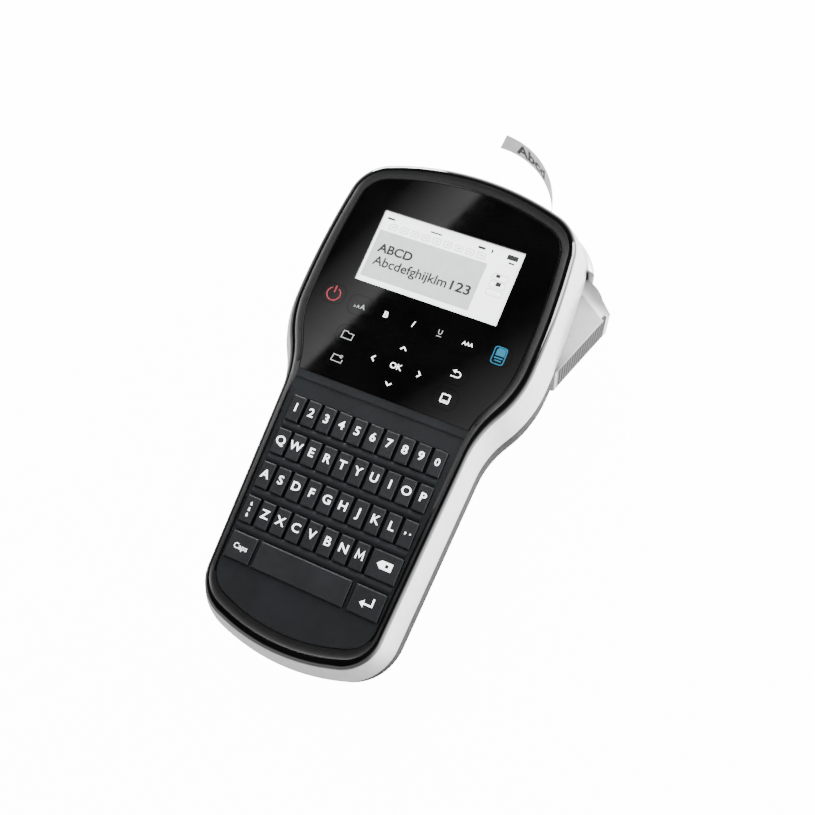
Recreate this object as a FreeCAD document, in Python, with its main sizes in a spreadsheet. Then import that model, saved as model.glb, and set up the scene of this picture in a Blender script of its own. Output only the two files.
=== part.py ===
"""Handheld electronic label maker, lying on its back with the keyboard up.

Frame: +X to the cutter side, +Y to the head, +Z out of the keyboard.
Origin: on the flat back of the head, just below its hatch, on the line of symmetry of the case outline.
Outlines are drawn about the middle of the case length, and every sub-part's placement moves it back by
rest_spot so that the origin lies on the back.
Lengths are in millimetres and angles in degrees.
"""
import FreeCAD
import Part
import Sketcher
import math
import os
import re

V = FreeCAD.Vector
UP = V(0, 0, 1)

SIZES = {
    # distance from the middle of the case length up to the origin
    "rest_spot": 27.0,
    # outline of the case, seen from the front
    "outline_top": 100.2,
    "outline_end": 98.2,
    "head_half_width": 49.95,
    "neck_half_width": 38.43,
    "neck_level": -10.0,
    "grip_taper": 2.4,
    "widest_level": 43.8,
    "shoulder_level": 32.2,
    "crown_arc": 112.0,
    "corner_arc": 17.7,
    "side_arc": 311.0,
    "shoulder_arc": 45.0,
    "neck_arc": 42.5,
    "end_corner_arc": 16.0,
    "end_arc": 76.0,
    # width of the black rim at the top, at the head sides, at the grip and at the end
    "rim_top": 7.0,
    "rim_head": 5.8,
    "rim_grip": 3.7,
    "rim_end": 7.4,
    # how far the silver band stands out below the rim
    "flare_top": 2.8,
    "flare_head": 5.0,
    "flare_grip": 3.7,
    "flare_end": 4.8,
    # levels above the flat back
    "head_back_level": 0.0,
    "grip_back_level": 14.0,
    "head_bend_level": 13.0,
    "grip_bend_level": 28.0,
    "lobe_foot": -2.0,
    "lobe_side": 2.0,
    "lobe_turn_arc": 36.0,
    "rear_seam_level": 36.0,
    "rim_seam_level": 51.2,
    "panel_seat_level": 51.9,
    "fascia_top_level": 53.0,
    "panel_top_level": 53.4,
    "crown_level": 54.0,
    "board_level": 46.4,
    "keymat_level": 48.8,
    "wall": 2.2,
    "seam_step": 0.3,
    # keyboard
    "key_pitch": 6.5,
    "key_row_pitch": 13.8,
    "first_row_level": -14.0,
    "key_width": 5.1,
    "key_length": 10.0,
    "key_top_level": 53.9,
    "key_flange_level": 50.25,
    "key_flange_thick": 0.8,
    "key_edge_round": 0.45,
    "key_gap": 0.3,
    "backspace_width": 11.6,
    "caps_width": 10.3,
    "space_width": 37.0,
    "enter_width": 12.0,
    # keys flush with the gloss panel
    "soft_key_width": 9.4,
    "soft_key_length": 8.0,
    "soft_key_round": 3.0,
    "arrow_key_width": 8.0,
    "arrow_key_length": 6.4,
    "arrow_key_round": 1.6,
    "soft_flange_level": 50.2,
    "soft_flange_thick": 1.6,
    "soft_flange_rim": 0.5,
    "soft_key_gap": 0.12,
    # display
    "window_width": 59.6,
    "window_length": 31.6,
    "window_centre": 58.65,
    "glass_level": 52.8,
    "display_rim": 2.0,
    "panel_lower_edge": 1.5,
    "fascia_step": -1.8,
    # electronics
    "board_thick": 1.6,
    "keymat_thick": 0.8,
    "plunger_radius": 1.5,
    "socket_width": 7.6,
    "socket_length": 5.6,
    "socket_height": 3.2,
    "socket_spot": 30.0,
    "battery_width": 40.0,
    "battery_length": 58.0,
    "battery_height": 13.0,
    "battery_centre": -56.0,
    "battery_level": 17.0,
    # screws
    "screw_radius": 1.5,
    "screw_head_radius": 2.8,
    "screw_head_height": 2.0,
    "screw_length": 16.0,
    "screw_level": 20.0,
    "boss_radius": 4.6,
    # tape feed
    "gear_module": 0.6,
    "pressure_angle": 25.0,
    "gear_level": 30.2,
    "gear_thick": 3.0,
    "frame_level": 28.2,
    "frame_thick": 1.6,
    "post_radius": 1.5,
    "running_gap": 0.06,
    "platen_radius": 3.0,
    "platen_length": 13.0,
    "tape_line": 28.3,
    "tape_thick": 0.15,
    "tape_width": 12.0,
    "tape_level": 12.0,
    "tape_curl": 36.0,
    "tape_curl_angle": 87.0,
    "tape_curl_start": 103.0,
    "tape_end_slant": 17.0,
    "cut_level": 89.2,
    "tape_roll_radius": 15.5,
    "supply_spool_radius": 6.5,
    "takeup_spool_radius": 5.5,
    "spool_core_radius": 3.0,
    "motor_radius": 7.5,
    "motor_length": 22.0,
    "motor_flat": 6.4,
    "cassette_level": 8.0,
    "cassette_height": 19.4,
    "cassette_wall": 1.3,
    # housing of the cutter, beside the head
    "pod_low_level": 10.0,
    "pod_high_level": 39.0,
    "pod_side": 57.5,
    "pod_arc": 25.3,
    "pod_root_side": 54.4,
    "pod_joint": 43.0,
    "pod_round": 4.0,
    # cutter
    "lever_level": 12.0,
    "lever_height": 23.6,
    "pivot_east": 53.5,
    "pivot_north": 41.5,
    "pivot_radius": 1.6,
    "lever_heel": 3.6,
    "lever_hollow": 7.2,
    "pad_margin": 0.9,
    "blade_thick": 0.6,
    # covers
    "hatch_half_width": 33.0,
    "hatch_low": 34.5,
    "hatch_high": 86.0,
    "hatch_round": 6.0,
    "hatch_thick": 2.0,
    "hatch_gap": 0.35,
    "hinge_radius": 1.9,
    "hinge_reach": 2.5,
    "hinge_gap": 1.15,
    "hinge_pin_radius": 1.0,
    "door_width": 46.0,
    "door_length": 66.0,
    "door_thick": 1.4,
    "door_travel": 12.0,
}

TEETH = {"platen": 16, "upper": 40, "lower": 40, "pinion": 12, "takeup": 24}
SCREW_SPOTS = ((-29.0, -82.0), (29.0, -82.0), (-29.0, -10.0), (29.0, -10.0), (-41.0, 82.0), (42.0, 19.0))
HEAD_SCREWS = SCREW_SPOTS[4:]
HINGE_SPOTS = (-22.0, 22.0)

DOC = FreeCAD.newDocument("label_maker")
SHEET = DOC.addObject("Spreadsheet::Sheet", "Sizes")
PARTS = []


def fill_sheet():
    """Write every driving dimension as a plain number with a word alias."""
    for row, (alias, value) in enumerate(SIZES.items(), start=1):
        SHEET.set("A%d" % row, alias)
        SHEET.set("B%d" % row, str(value))
        SHEET.setAlias("B%d" % row, alias)
    DOC.recompute()


def size(alias):
    """One driving dimension, read back from the sheet."""
    return float(SHEET.get(alias))


def bind(obj, **formulas):
    """Tie properties to formulas that use the sheet's words."""
    for prop, formula in formulas.items():
        text = re.sub(r"[a-z]+(_[a-z]+)+|\bwall\b", lambda m: "Sizes." + m.group(), formula)
        obj.setExpression(prop.replace("__", "."), text)


def keep(obj, label, at=(0, 0, 0)):
    """Name a finished sub-part, place it and list it for export."""
    obj.Label = label
    obj.Placement = FreeCAD.Placement(V(*at) - V(0, size("rest_spot"), 0), FreeCAD.Rotation())
    PARTS.append(obj)
    return obj


def shaped(label, shape, at=(0, 0, 0)):
    """A sub-part whose solid is worked out in code."""
    obj = DOC.addObject("Part::Feature", label)
    obj.Shape = shape.removeSplitter()
    return keep(obj, label, at)


# ---------------------------------------------------------------- plane geometry


def prism(wire, height):
    """Solid above a flat closed wire."""
    return Part.Face(wire).extrude(V(0, 0, height))


def block(x_low, x_high, y_low, y_high, z_low, z_high):
    """Box between six limits."""
    return Part.makeBox(x_high - x_low, y_high - y_low, z_high - z_low, V(x_low, y_low, z_low))


def rod(radius, height, x=0.0, y=0.0, z=0.0):
    """Upright cylinder."""
    return Part.makeCylinder(radius, height, V(x, y, z))


def fused(solids):
    """Union of a list of solids."""
    return solids[0].multiFuse(solids[1:]) if len(solids) > 1 else solids[0]


def rounded_block(x_low, x_high, y_low, y_high, z_low, z_high, radius):
    """Box with rounded upright edges."""
    solid = block(x_low, x_high, y_low, y_high, z_low, z_high)
    upright = [e for e in solid.Edges if abs(e.Vertexes[0].Z - e.Vertexes[1].Z) > 1e-6]
    return solid.makeFillet(radius, upright)


def edges_at(shape, level):
    """Edges that lie whole in one level."""
    return [e for e in shape.Edges if e.BoundBox.ZLength < 1e-4 and abs(e.BoundBox.ZMin - level) < 1e-4]


def unit(vector):
    """Direction of a vector."""
    return V(vector).normalize()


def crossing(centre_one, radius_one, centre_two, radius_two, reach):
    """The crossing point of two circles that lies further along reach."""
    line = centre_two - centre_one
    gap = line.Length
    along = (radius_one ** 2 - radius_two ** 2 + gap ** 2) / (2 * gap)
    rise = math.sqrt(radius_one ** 2 - along ** 2)
    across = V(-line.y, line.x, 0) * (rise / gap)
    foot = centre_one + line * (along / gap)
    return max((foot + across, foot - across), key=lambda point: point.dot(reach))


def arc(centre, radius, start, finish):
    """Shorter arc about a centre."""
    middle = centre + unit((start + finish) * 0.5 - centre) * radius
    return Part.Arc(start, middle, finish).toShape()


def mirrored(point):
    """The same point on the other side of the line of symmetry."""
    return V(-point.x, point.y, point.z)


def span(circle, start, finish):
    """Arc of a circle (centre, radius) between two joints, or a line when there is no circle."""
    if circle is None:
        return Part.makeLine(start, finish)
    return arc(circle[0], circle[1], start, finish)


def symmetric_wire(crown_point, end_point, joints, circles, level):
    """Closed wire from its right half: joints in order and the circle or line between each pair."""
    left = [mirrored(joint) for joint in joints]
    edges = [Part.Arc(left[0], crown_point, joints[0]).toShape()]
    edges += [span(*piece) for piece in zip(circles, joints, joints[1:])]
    edges.append(Part.Arc(joints[-1], end_point, left[-1]).toShape())
    for circle, start, finish in reversed(list(zip(circles, left, left[1:]))):
        twin = circle and (mirrored(circle[0]), circle[1])
        edges.append(span(twin, finish, start))
    wire = Part.Wire(edges)
    wire.translate(V(0, 0, level))
    return wire


def head_circles(inset):
    """Crown, corner and side circles of the head outline, drawn in by an inset."""
    crown_r = size("crown_arc") - inset["top"]
    corner_r = size("corner_arc") - (inset["top"] + inset["head"]) / 2
    side_r = size("side_arc") - inset["head"]
    crown = V(0, size("outline_top") - inset["top"] - crown_r, 0)
    side = V(size("head_half_width") - inset["head"] - side_r, size("widest_level"), 0)
    corner = crossing(crown, crown_r - corner_r, side, side_r - corner_r, V(1, 1, 0))
    return (crown, crown_r), (corner, corner_r), (side, side_r)


def case_wire(level, inset):
    """Outline of the whole case, drawn in by an inset."""
    (crown, crown_r), (corner, corner_r), (side, side_r) = head_circles(inset)
    shoulder_r = size("shoulder_arc") - inset["head"]
    neck_r = size("neck_arc") + inset["neck"]
    foot_r = size("end_corner_arc") - (inset["neck"] + inset["end"]) / 2
    end_r = size("end_arc") - inset["end"]
    drop = size("shoulder_level") - side.y
    shoulder = V(side.x + math.sqrt((side_r - shoulder_r) ** 2 - drop ** 2), size("shoulder_level"), 0)
    taper = math.radians(size("grip_taper"))
    along = V(math.sin(taper), math.cos(taper), 0)
    outward = V(math.cos(taper), -math.sin(taper), 0)
    grip = V(size("neck_half_width") - inset["neck"], size("neck_level"), 0)
    neck = line_circle(grip + outward * neck_r, along, shoulder, shoulder_r + neck_r)
    end = V(0, -size("outline_end") + inset["end"] + end_r, 0)
    foot = line_circle(grip - outward * foot_r, along, end, end_r - foot_r)
    joints = [
        crown + unit(corner - crown) * crown_r,
        side + unit(corner - side) * side_r,
        side + unit(shoulder - side) * side_r,
        shoulder + unit(neck - shoulder) * shoulder_r,
        neck - outward * neck_r,
        foot + outward * foot_r,
        end + unit(foot - end) * end_r,
    ]
    circles = [
        (corner, corner_r),
        (side, side_r),
        (shoulder, shoulder_r),
        (neck, neck_r),
        None,
        (foot, foot_r),
    ]
    return symmetric_wire(crown + V(0, crown_r, 0), end - V(0, end_r, 0), joints, circles, level)


def line_circle(start, along, centre, radius):
    """Lower crossing of a line with a circle."""
    offset = start - centre
    reach = offset.dot(along)
    return start - along * (reach + math.sqrt(reach ** 2 - offset.dot(offset) + radius ** 2))


def lobe_wire(level, inset, foot_level):
    """Outline of the deep part of the head, closed by a shallow arc at its foot."""
    (crown, crown_r), (corner, corner_r), (side, side_r) = head_circles(inset)
    base_r = 200.0
    turn_r = size("lobe_turn_arc")
    base = V(0, foot_level + base_r, 0)
    turn = crossing(base, base_r - turn_r, side, side_r - turn_r, V(1, -1, 0))
    joints = [
        crown + unit(corner - crown) * crown_r,
        side + unit(corner - side) * side_r,
        side + unit(turn - side) * side_r,
        base + unit(turn - base) * base_r,
    ]
    circles = [(corner, corner_r), (side, side_r), (turn, turn_r)]
    return symmetric_wire(crown + V(0, crown_r, 0), V(0, foot_level, 0), joints, circles, level)


def lobe_inset(extra):
    """Inset of the deep part of the head, clear of the crown and drawn in at the sides."""
    inset = flare(1.0, extra - 6.0)
    inset["head"] = extra + size("lobe_side") - size("flare_head")
    return inset


def rim(share, extra=0.0):
    """Inset that crosses a share of the black rim's width."""
    return {
        "top": share * size("rim_top") + extra,
        "head": share * size("rim_head") + extra,
        "neck": share * size("rim_grip") + extra,
        "end": share * size("rim_end") + extra,
    }


def flare(share, extra=0.0):
    """Inset that stands out by a share of the silver band's flare."""
    return {
        "top": extra - share * size("flare_top"),
        "head": extra - share * size("flare_head"),
        "neck": extra - share * size("flare_grip"),
        "end": extra - share * size("flare_end"),
    }


def quarter(steps):
    """Sine and cosine pairs from level to upright, for a rounded edge."""
    turns = [math.pi / 2 * i / steps for i in range(steps + 1)]
    return [(math.sin(turn), math.cos(turn)) for turn in turns]


# ---------------------------------------------------------------- case


def make_front_bezel():
    """Black rim: domed ring, shallow valley inside it, ledge for the panels, locating skirt below."""
    low = size("rim_seam_level")
    rise = size("crown_level") - low
    dome = Part.makeLoft(
        [case_wire(low + rise * sine, rim(0.48 * (1 - cosine))) for sine, cosine in quarter(6)], True, True
    )
    valley = Part.makeLoft(
        [
            case_wire(size("panel_top_level") - 0.3, rim(0.78)),
            case_wire(size("panel_top_level") + 0.05, rim(0.62)),
            case_wire(size("crown_level") - 0.2, rim(0.54)),
            case_wire(size("crown_level") + 0.1, rim(0.485)),
        ],
        True,
        True,
    )
    seat = prism(case_wire(size("panel_seat_level"), rim(1.0)), 3.0)
    opening = prism(case_wire(low - 1, rim(1.0, 0.6)), 4.0)
    skirt = prism(case_wire(low - 2.5, rim(0, size("wall") + 0.1)), 2.6)
    skirt = skirt.cut(prism(case_wire(low - 3, rim(0, size("wall") + 1.2)), 4.0))
    shaped("front_bezel", dome.cut(valley).cut(seat).cut(opening).fuse(skirt))


def make_silver_band():
    """Flared band round the sides, with the cutter housing, an inner deck and posts for the case screws."""
    low = size("rear_seam_level")
    high = size("rim_seam_level")
    shares = (1.0, 0.95, 0.83, 0.64, 0.37, 0.0)
    sections = [
        case_wire(low + (high - low) * i / 5, flare(share, 0.25 * (1 - share)))
        for i, share in enumerate(shares)
    ]
    shell = Part.makeLoft(sections, True, True)
    shell = shell.fuse(cutter_housing())
    inside = prism(case_wire(low, flare(0, size("wall"))), high - low + 1)
    deck_low = size("board_level") - 2.0
    deck = prism(case_wire(deck_low, flare(0, size("wall") - 0.2)), 2.0)
    deck = deck.cut(prism(case_wire(deck_low - 1, flare(0, 6.0)), 4.0))
    spot = size("socket_spot")
    socket = block(-60, -40, spot - 4.6, spot + 4.6, 42.4, 46.5)
    band = shell.cut(inside).fuse(deck).cut(socket)
    wall_line = prism(case_wire(deck_low, flare(0, size("wall") - 0.4)), 2.0)
    for x, y in SCREW_SPOTS:
        seat = size("frame_level") + size("frame_thick")
        reach = math.copysign(16.0, x)
        arm = block(min(x, x + reach), max(x, x + reach), y - 2.4, y + 2.4, deck_low, deck_low + 2.0)
        post = rod(3.2, deck_low + 2.0 - seat, x, y, seat)
        band = band.fuse([arm.common(wall_line), post])
        band = band.cut(rod(size("screw_radius"), 9.0, x, y, seat - 0.1))
    shaped("silver_band", band)


def rear_forms(skin):
    """Grip and head forms of the rear shell, drawn in by a skin thickness."""
    top = size("rear_seam_level") + (1.0 if skin else 0.0)
    rim_wire = case_wire(top, flare(1.0, size("seam_step") + skin))
    grip_low = size("grip_back_level") + skin
    grip_bend = size("grip_bend_level")
    grip = [rim_wire]
    grip += [
        case_wire(grip_bend - (grip_bend - grip_low) * sine, flare(1.0, skin - 0.6 + 9.0 * (1 - cosine)))
        for sine, cosine in quarter(5)
    ]
    head_low = size("head_back_level") + skin
    head_bend = size("head_bend_level")
    head = [rim_wire]
    foot = [lobe_wire(top, lobe_inset(skin), size("lobe_foot") - 7.0 + skin)]
    for sine, cosine in quarter(5):
        level = head_bend - (head_bend - head_low) * sine
        shrink = skin + 8.5 * (1 - cosine)
        head.append(case_wire(level, flare(1.0, shrink + 0.6)))
        foot.append(lobe_wire(level, lobe_inset(shrink), size("lobe_foot") + shrink))
    deep = Part.makeLoft(head, True, True).common(Part.makeLoft(foot, True, True))
    return [Part.makeLoft(grip, True, True), deep]


def pod_form(skin):
    """Swelling beside the head that carries the cutter lever, drawn in by a skin thickness."""
    low = size("pod_low_level") + skin
    high = size("pod_high_level") - skin
    side = size("pod_side") - skin
    reach = size("pod_arc") - skin
    hub = V(size("pod_side") - size("pod_arc"), 72.8, low)
    top = hub + V(0, reach, 0)
    east = hub + V(reach, 0, 0)
    knee = V(side, 60.0, low)
    root = V(size("pod_root_side") - skin, size("pivot_north") - 6.2 + skin, low)
    back = V(size("pod_joint"), root.y, low)
    corner = V(size("pod_joint"), hub.y + math.sqrt(reach ** 2 - (size("pod_joint") - hub.x) ** 2), low)
    edges = [
        arc(hub, reach, corner, east),
        Part.makeLine(east, knee),
        Part.makeLine(knee, root),
        Part.makeLine(root, back),
        Part.makeLine(back, corner),
    ]
    pod = prism(Part.Wire(edges), high - low)
    if skin > 0:
        return pod
    rims = edges_at(pod, low) + edges_at(pod, high)
    outer = [e for e in rims if e.BoundBox.XMax > size("pod_joint") + 1 and e.BoundBox.YMax > root.y + 1]
    return pod.makeFillet(size("pod_round"), outer)


def cutter_housing():
    """Wall of the swelling, open towards the inside of the case and to the lever."""
    wall = size("wall")
    hollow = pod_form(wall)
    mouth = hollow.translated(V(-wall - 1.0, 0, 0))
    north = size("pivot_north")
    low = size("lever_level") - 0.4
    heel_gap = block(50, 70, north - 7.0, north - 4.9, low, size("pod_high_level") + 1.0)
    return pod_form(0.0).cut([hollow, mouth, lever_window(), heel_gap, lever_pivot(0.0)])


def make_rear_shell():
    """Grey rear shell: grip back, deep head, hatch and battery openings, screw bosses."""
    outer = fused(rear_forms(0.0)).cut(pod_form(-size("running_gap")))
    shell = outer.cut(rear_forms(size("wall")))
    for x, y in SCREW_SPOTS:
        seat = size("frame_level") if (x, y) in HEAD_SCREWS else size("frame_level") + size("frame_thick")
        shell = shell.fuse(rod(size("boss_radius"), seat - 1, x, y, 1.0).common(outer))
        shell = shell.cut([
            rod(size("screw_head_radius") + 0.3, size("screw_level") + 2.0, x, y, 0.0),
            rod(size("screw_radius") + 0.2, 40.0, x, y, 0.0),
        ])
    half = size("hatch_half_width")
    gap = size("hatch_gap")
    low = size("hatch_low")
    high = size("hatch_high")
    thick = size("hatch_thick")
    corner = size("hatch_round")
    room = low - size("hinge_gap")
    recess = rounded_block(-half - gap, half + gap, room, high + gap, -1, thick + 0.1, corner)
    ledge = rounded_block(-half + 1.4, half - 1.4, low + 1.2, high - 1.4, -1, 6, corner - 1.4)
    shelf = rounded_block(-half - 1.6, half + 1.6, low - 5.0, high + 1.6, 0.5, thick + 1.4, corner + 1.6)
    shell = shell.fuse(shelf).cut([recess, ledge])
    shell = shell.cut(hinge_wells() + hatch_pin_rods() + [lever_window(), lever_pivot(0.0)])
    half_door = size("door_width") / 2 - 3.0
    reach = size("door_length") / 2 - 3.0
    spot = size("battery_centre")
    level = size("grip_back_level")
    shell = shell.cut(block(-half_door, half_door, spot - reach, spot + reach, level - 1, level + 4))
    slot = block(size("tape_line") - 0.9, size("tape_line") + 0.9, 86, 112, 11.0, 25.0)
    shaped("rear_shell", shell.cut(slot))


def hinge_wells():
    """Room in the shell for the hatch hinge barrels, each side of the middle."""
    axis_y = hinge_line()[0]
    start = axis_y - size("hinge_radius") - 0.4
    end = size("hatch_low") + 3.0
    return [block(x - 5.3, x + 5.3, start, end, -1.0, 4.6) for x in HINGE_SPOTS]


def lever_window():
    """Opening in the housing and shell that the cutter lever swings through."""
    low = size("lever_level") - 0.4
    return block(38.0, 70.0, size("pivot_north") - 5.0, 82.4, low, size("pod_high_level") + 1.0)


def make_case_screws():
    """Case screws, all alike, driven in from the back."""
    solids = []
    for x, y in SCREW_SPOTS:
        head_low = size("screw_level")
        head = rod(size("screw_head_radius"), size("screw_head_height"), x, y, head_low)
        shank = rod(size("screw_radius"), size("screw_length"), x, y, head_low + size("screw_head_height"))
        cross = [
            block(x - 1.6, x + 1.6, y - 0.35, y + 0.35, head_low - 0.1, head_low + 1.0),
            block(x - 0.35, x + 0.35, y - 1.6, y + 1.6, head_low - 0.1, head_low + 1.0),
        ]
        solids.append(head.fuse(shank).cut(cross))
    shaped("case_screws", Part.makeCompound(solids))


# ---------------------------------------------------------------- front panels and keys


def soft_keys():
    """Name, centre, width, length and corner of every key on the gloss panel."""
    wide = (size("soft_key_width"), size("soft_key_length"), size("soft_key_round"))
    arrow = (size("arrow_key_width"), size("arrow_key_length"), size("arrow_key_round"))
    return {
        "power_key": (-35.0, 34.2) + wide,
        "size_key": (-23.0, 33.0) + wide,
        "bold_key": (-11.8, 33.0) + wide,
        "italic_key": (-0.4, 33.0) + wide,
        "underline_key": (10.9, 33.0) + wide,
        "effects_key": (22.5, 32.6) + wide,
        "print_key": (35.2, 32.4) + wide,
        "file_key": (-22.5, 20.0) + wide,
        "settings_key": (-22.5, 10.0) + wide,
        "back_key": (22.8, 20.0) + wide,
        "save_key": (22.6, 9.8) + wide,
        "up_key": (0.2, 22.5) + arrow,
        "down_key": (0.2, 7.5) + arrow,
        "left_key": (-9.3, 15.0) + arrow,
        "right_key": (9.7, 15.0) + arrow,
        "ok_key": (0.2, 15.0) + arrow,
    }


def make_display_panel():
    """Gloss panel with the display window and an opening for each of its keys."""
    low = size("panel_seat_level")
    plate = prism(case_wire(low, rim(1.0, 0.05)), size("panel_top_level") - low)
    plate = plate.common(block(-60, 60, size("panel_lower_edge"), 120, low - 1, low + 5))
    rims = edges_at(plate, size("panel_top_level"))
    plate = plate.makeChamfer(0.4, [e for e in rims if e.BoundBox.YMax > 20])
    half = size("window_width") / 2
    centre = size("window_centre")
    reach = size("window_length") / 2
    cuts = [block(-half, half, centre - reach, centre + reach, low - 1, low + 5)]
    gap = size("soft_key_gap")
    for x, y, width, length, corner in soft_keys().values():
        wide = width / 2 + gap
        long = length / 2 + gap
        cuts.append(rounded_block(x - wide, x + wide, y - long, y + long, low - 1, low + 5, corner + gap))
    shaped("display_panel", plate.cut(cuts))


def row_level(row):
    """Centre of one keyboard row."""
    return size("first_row_level") - size("key_row_pitch") * row


def column(index):
    """Centre of one keyboard column, counted from the left."""
    return (index - 4.5) * size("key_pitch")


def bottom_row_keys():
    """Centre and width of the three wide keys in the last row."""
    return {
        "caps_key": (-26.1, size("caps_width")),
        "space_key": (-1.0, size("space_width")),
        "enter_key": (25.2, size("enter_width")),
    }


def make_keyboard_fascia():
    """Matt field round the keys, with a rounded ridge between rows."""
    low = size("panel_seat_level")
    plate = prism(case_wire(low, rim(1.0, 0.05)), 3.0)
    field = plate.common(block(-60, 60, -120, size("fascia_step"), low, size("fascia_top_level")))
    strip_high = size("panel_top_level") - 0.1
    strip_end = size("panel_lower_edge") - 0.1
    strip = plate.common(block(-60, 60, size("fascia_step"), strip_end, low, strip_high))
    gap = size("key_gap")
    reach = size("key_length") / 2 + gap
    half = size("key_pitch") * 4.5 + size("key_width") / 2 + gap
    cuts = []
    ridges = []
    for row in range(5):
        y = row_level(row)
        if row < 4:
            cuts.append(rounded_block(-half, half, y - reach, y + reach, low - 1, low + 4, 0.8))
            start = V(-half + 0.5, y - size("key_row_pitch") / 2, size("fascia_top_level") - 2.1)
            ridge = Part.makeCylinder(2.6, 2 * half - 1.0, start, V(1, 0, 0))
            ridges.append(ridge.common(block(-60, 60, -120, 60, low + 0.1, low + 4)))
    y = row_level(4)
    for x, width in bottom_row_keys().values():
        wide = width / 2 + gap
        cuts.append(rounded_block(x - wide, x + wide, y - reach, y + reach, low - 1, low + 4, 0.8))
    shaped("keyboard_fascia", field.fuse([strip] + ridges).cut(cuts))


def new_body(label):
    """Empty part-design body."""
    body = DOC.addObject("PartDesign::Body", label)
    body.Label = label
    return body


def flat_sketch(body, name, level):
    """Sketch on the body's own base plane, lifted to a level."""
    sketch = body.newObject("Sketcher::SketchObject", name)
    plane = next(o for o in body.Origin.OriginFeatures if o.Role == "XY_Plane")
    sketch.AttachmentSupport = [(plane, "")]
    sketch.MapMode = "FlatFace"
    bind(sketch, AttachmentOffset__Base__z=level)
    return sketch


def dimension(sketch, constraint, name, formula):
    """Named sketch dimension tied to a formula."""
    index = sketch.addConstraint(constraint)
    sketch.renameConstraint(index, name)
    bind(sketch, **{"Constraints__" + name: formula})


def rectangle(sketch, width, length):
    """Rectangle centred on the sketch origin."""
    w = 3.0
    corners = [V(-w, -w, 0), V(w, -w, 0), V(w, w, 0), V(-w, w, 0)]
    for start, finish in zip(corners, corners[1:] + corners[:1]):
        sketch.addGeometry(Part.LineSegment(start, finish), False)
    for i in range(4):
        sketch.addConstraint(Sketcher.Constraint("Coincident", i, 2, (i + 1) % 4, 1))
    for i in (0, 2):
        sketch.addConstraint(Sketcher.Constraint("Horizontal", i))
        sketch.addConstraint(Sketcher.Constraint("Vertical", i + 1))
    sketch.addConstraint(Sketcher.Constraint("Symmetric", 0, 1, 2, 1, -1, 1))
    dimension(sketch, Sketcher.Constraint("DistanceX", 0, 1, 0, 2, 2 * w), "Width", width)
    dimension(sketch, Sketcher.Constraint("DistanceY", 1, 1, 1, 2, 2 * w), "Length", length)


def pad(body, sketch, name, length):
    """Solid above a sketch."""
    feature = body.newObject("PartDesign::Pad", name)
    feature.Profile = sketch
    bind(feature, Length=length)
    sketch.Visibility = False
    DOC.recompute()
    return feature


def soften(body, feature, name, chosen, radius):
    """Round the chosen edges of a body's last feature."""
    names = ["Edge%d" % (i + 1) for i, edge in enumerate(feature.Shape.Edges) if chosen(edge)]
    rounded = body.newObject("PartDesign::Fillet", name)
    rounded.Base = (feature, names)
    bind(rounded, Radius=radius)
    DOC.recompute()
    return rounded


def is_upright(edge):
    """True for an edge that runs straight up."""
    return len(edge.Vertexes) == 2 and abs(edge.Vertexes[0].Z - edge.Vertexes[1].Z) > 1e-6


def make_soft_keys():
    """Keys of the gloss panel: a cap flush with the panel on a wider flange below it."""
    for label, (x, y, width, length, corner) in soft_keys().items():
        kind = "soft" if length == size("soft_key_length") else "arrow"
        body = new_body(label)
        base = flat_sketch(body, "Flange_" + label, "soft_flange_level")
        rim_text = "_key_%s + 2 * soft_flange_rim"
        rectangle(base, kind + rim_text % "width", kind + rim_text % "length")
        pad(body, base, "FlangePad_" + label, "soft_flange_thick")
        cap = flat_sketch(body, "Cap_" + label, "soft_flange_level")
        rectangle(cap, kind + "_key_width", kind + "_key_length")
        tower = pad(body, cap, "CapPad_" + label, "panel_top_level - soft_flange_level")
        flange_top = size("soft_flange_level") + size("soft_flange_thick")
        soften(body, tower, "Corners_" + label,
               lambda e: is_upright(e) and e.BoundBox.ZMax > flange_top + 0.1, kind + "_key_round")
        keep(body, label, (x, y, 0))


def key_cap(body, label, width):
    """Sketch and pad of a raised cap on a body that already has its flange."""
    cap = flat_sketch(body, "Cap_" + label, "key_flange_level")
    rectangle(cap, width, "key_length")
    return cap, pad(body, cap, "CapPad_" + label, "key_top_level - key_flange_level")


def soften_cap(body, feature, label):
    """Round every edge of the cap tops."""
    top = size("key_top_level")
    soften(body, feature, "Edges_" + label, lambda e: e.BoundBox.ZMin > top - 1e-4, "key_edge_round")


def make_key_row(label, row, count):
    """Row of like keys on one carrier bar under the fascia."""
    body = new_body(label)
    base = flat_sketch(body, "Bar_" + label, "key_flange_level")
    rectangle(base, "%d * key_pitch" % count, "key_length + 0.8")
    pad(body, base, "BarPad_" + label, "key_flange_thick")
    cap, tower = key_cap(body, label, "key_width")
    bind(cap, AttachmentOffset__Base__x="-%.1f * key_pitch" % ((count - 1) / 2))
    pattern = body.newObject("PartDesign::LinearPattern", "Row_" + label)
    pattern.Originals = [tower]
    x_axis = next(o for o in body.Origin.OriginFeatures if o.Role == "X_Axis")
    pattern.Direction = (x_axis, [""])
    pattern.Occurrences = count
    bind(pattern, Length="%d * key_pitch" % (count - 1))
    body.Tip = pattern
    DOC.recompute()
    soften_cap(body, pattern, label)
    keep(body, label, (column((count - 1) / 2), row_level(row), 0))


def make_wide_key(label, x, row, width):
    """Single wide key on its own flange."""
    body = new_body(label)
    base = flat_sketch(body, "Flange_" + label, "key_flange_level")
    rectangle(base, width + "+ 0.8", "key_length + 0.8")
    pad(body, base, "FlangePad_" + label, "key_flange_thick")
    tower = key_cap(body, label, width)[1]
    soften_cap(body, tower, label)
    keep(body, label, (x, row_level(row), 0))


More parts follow.
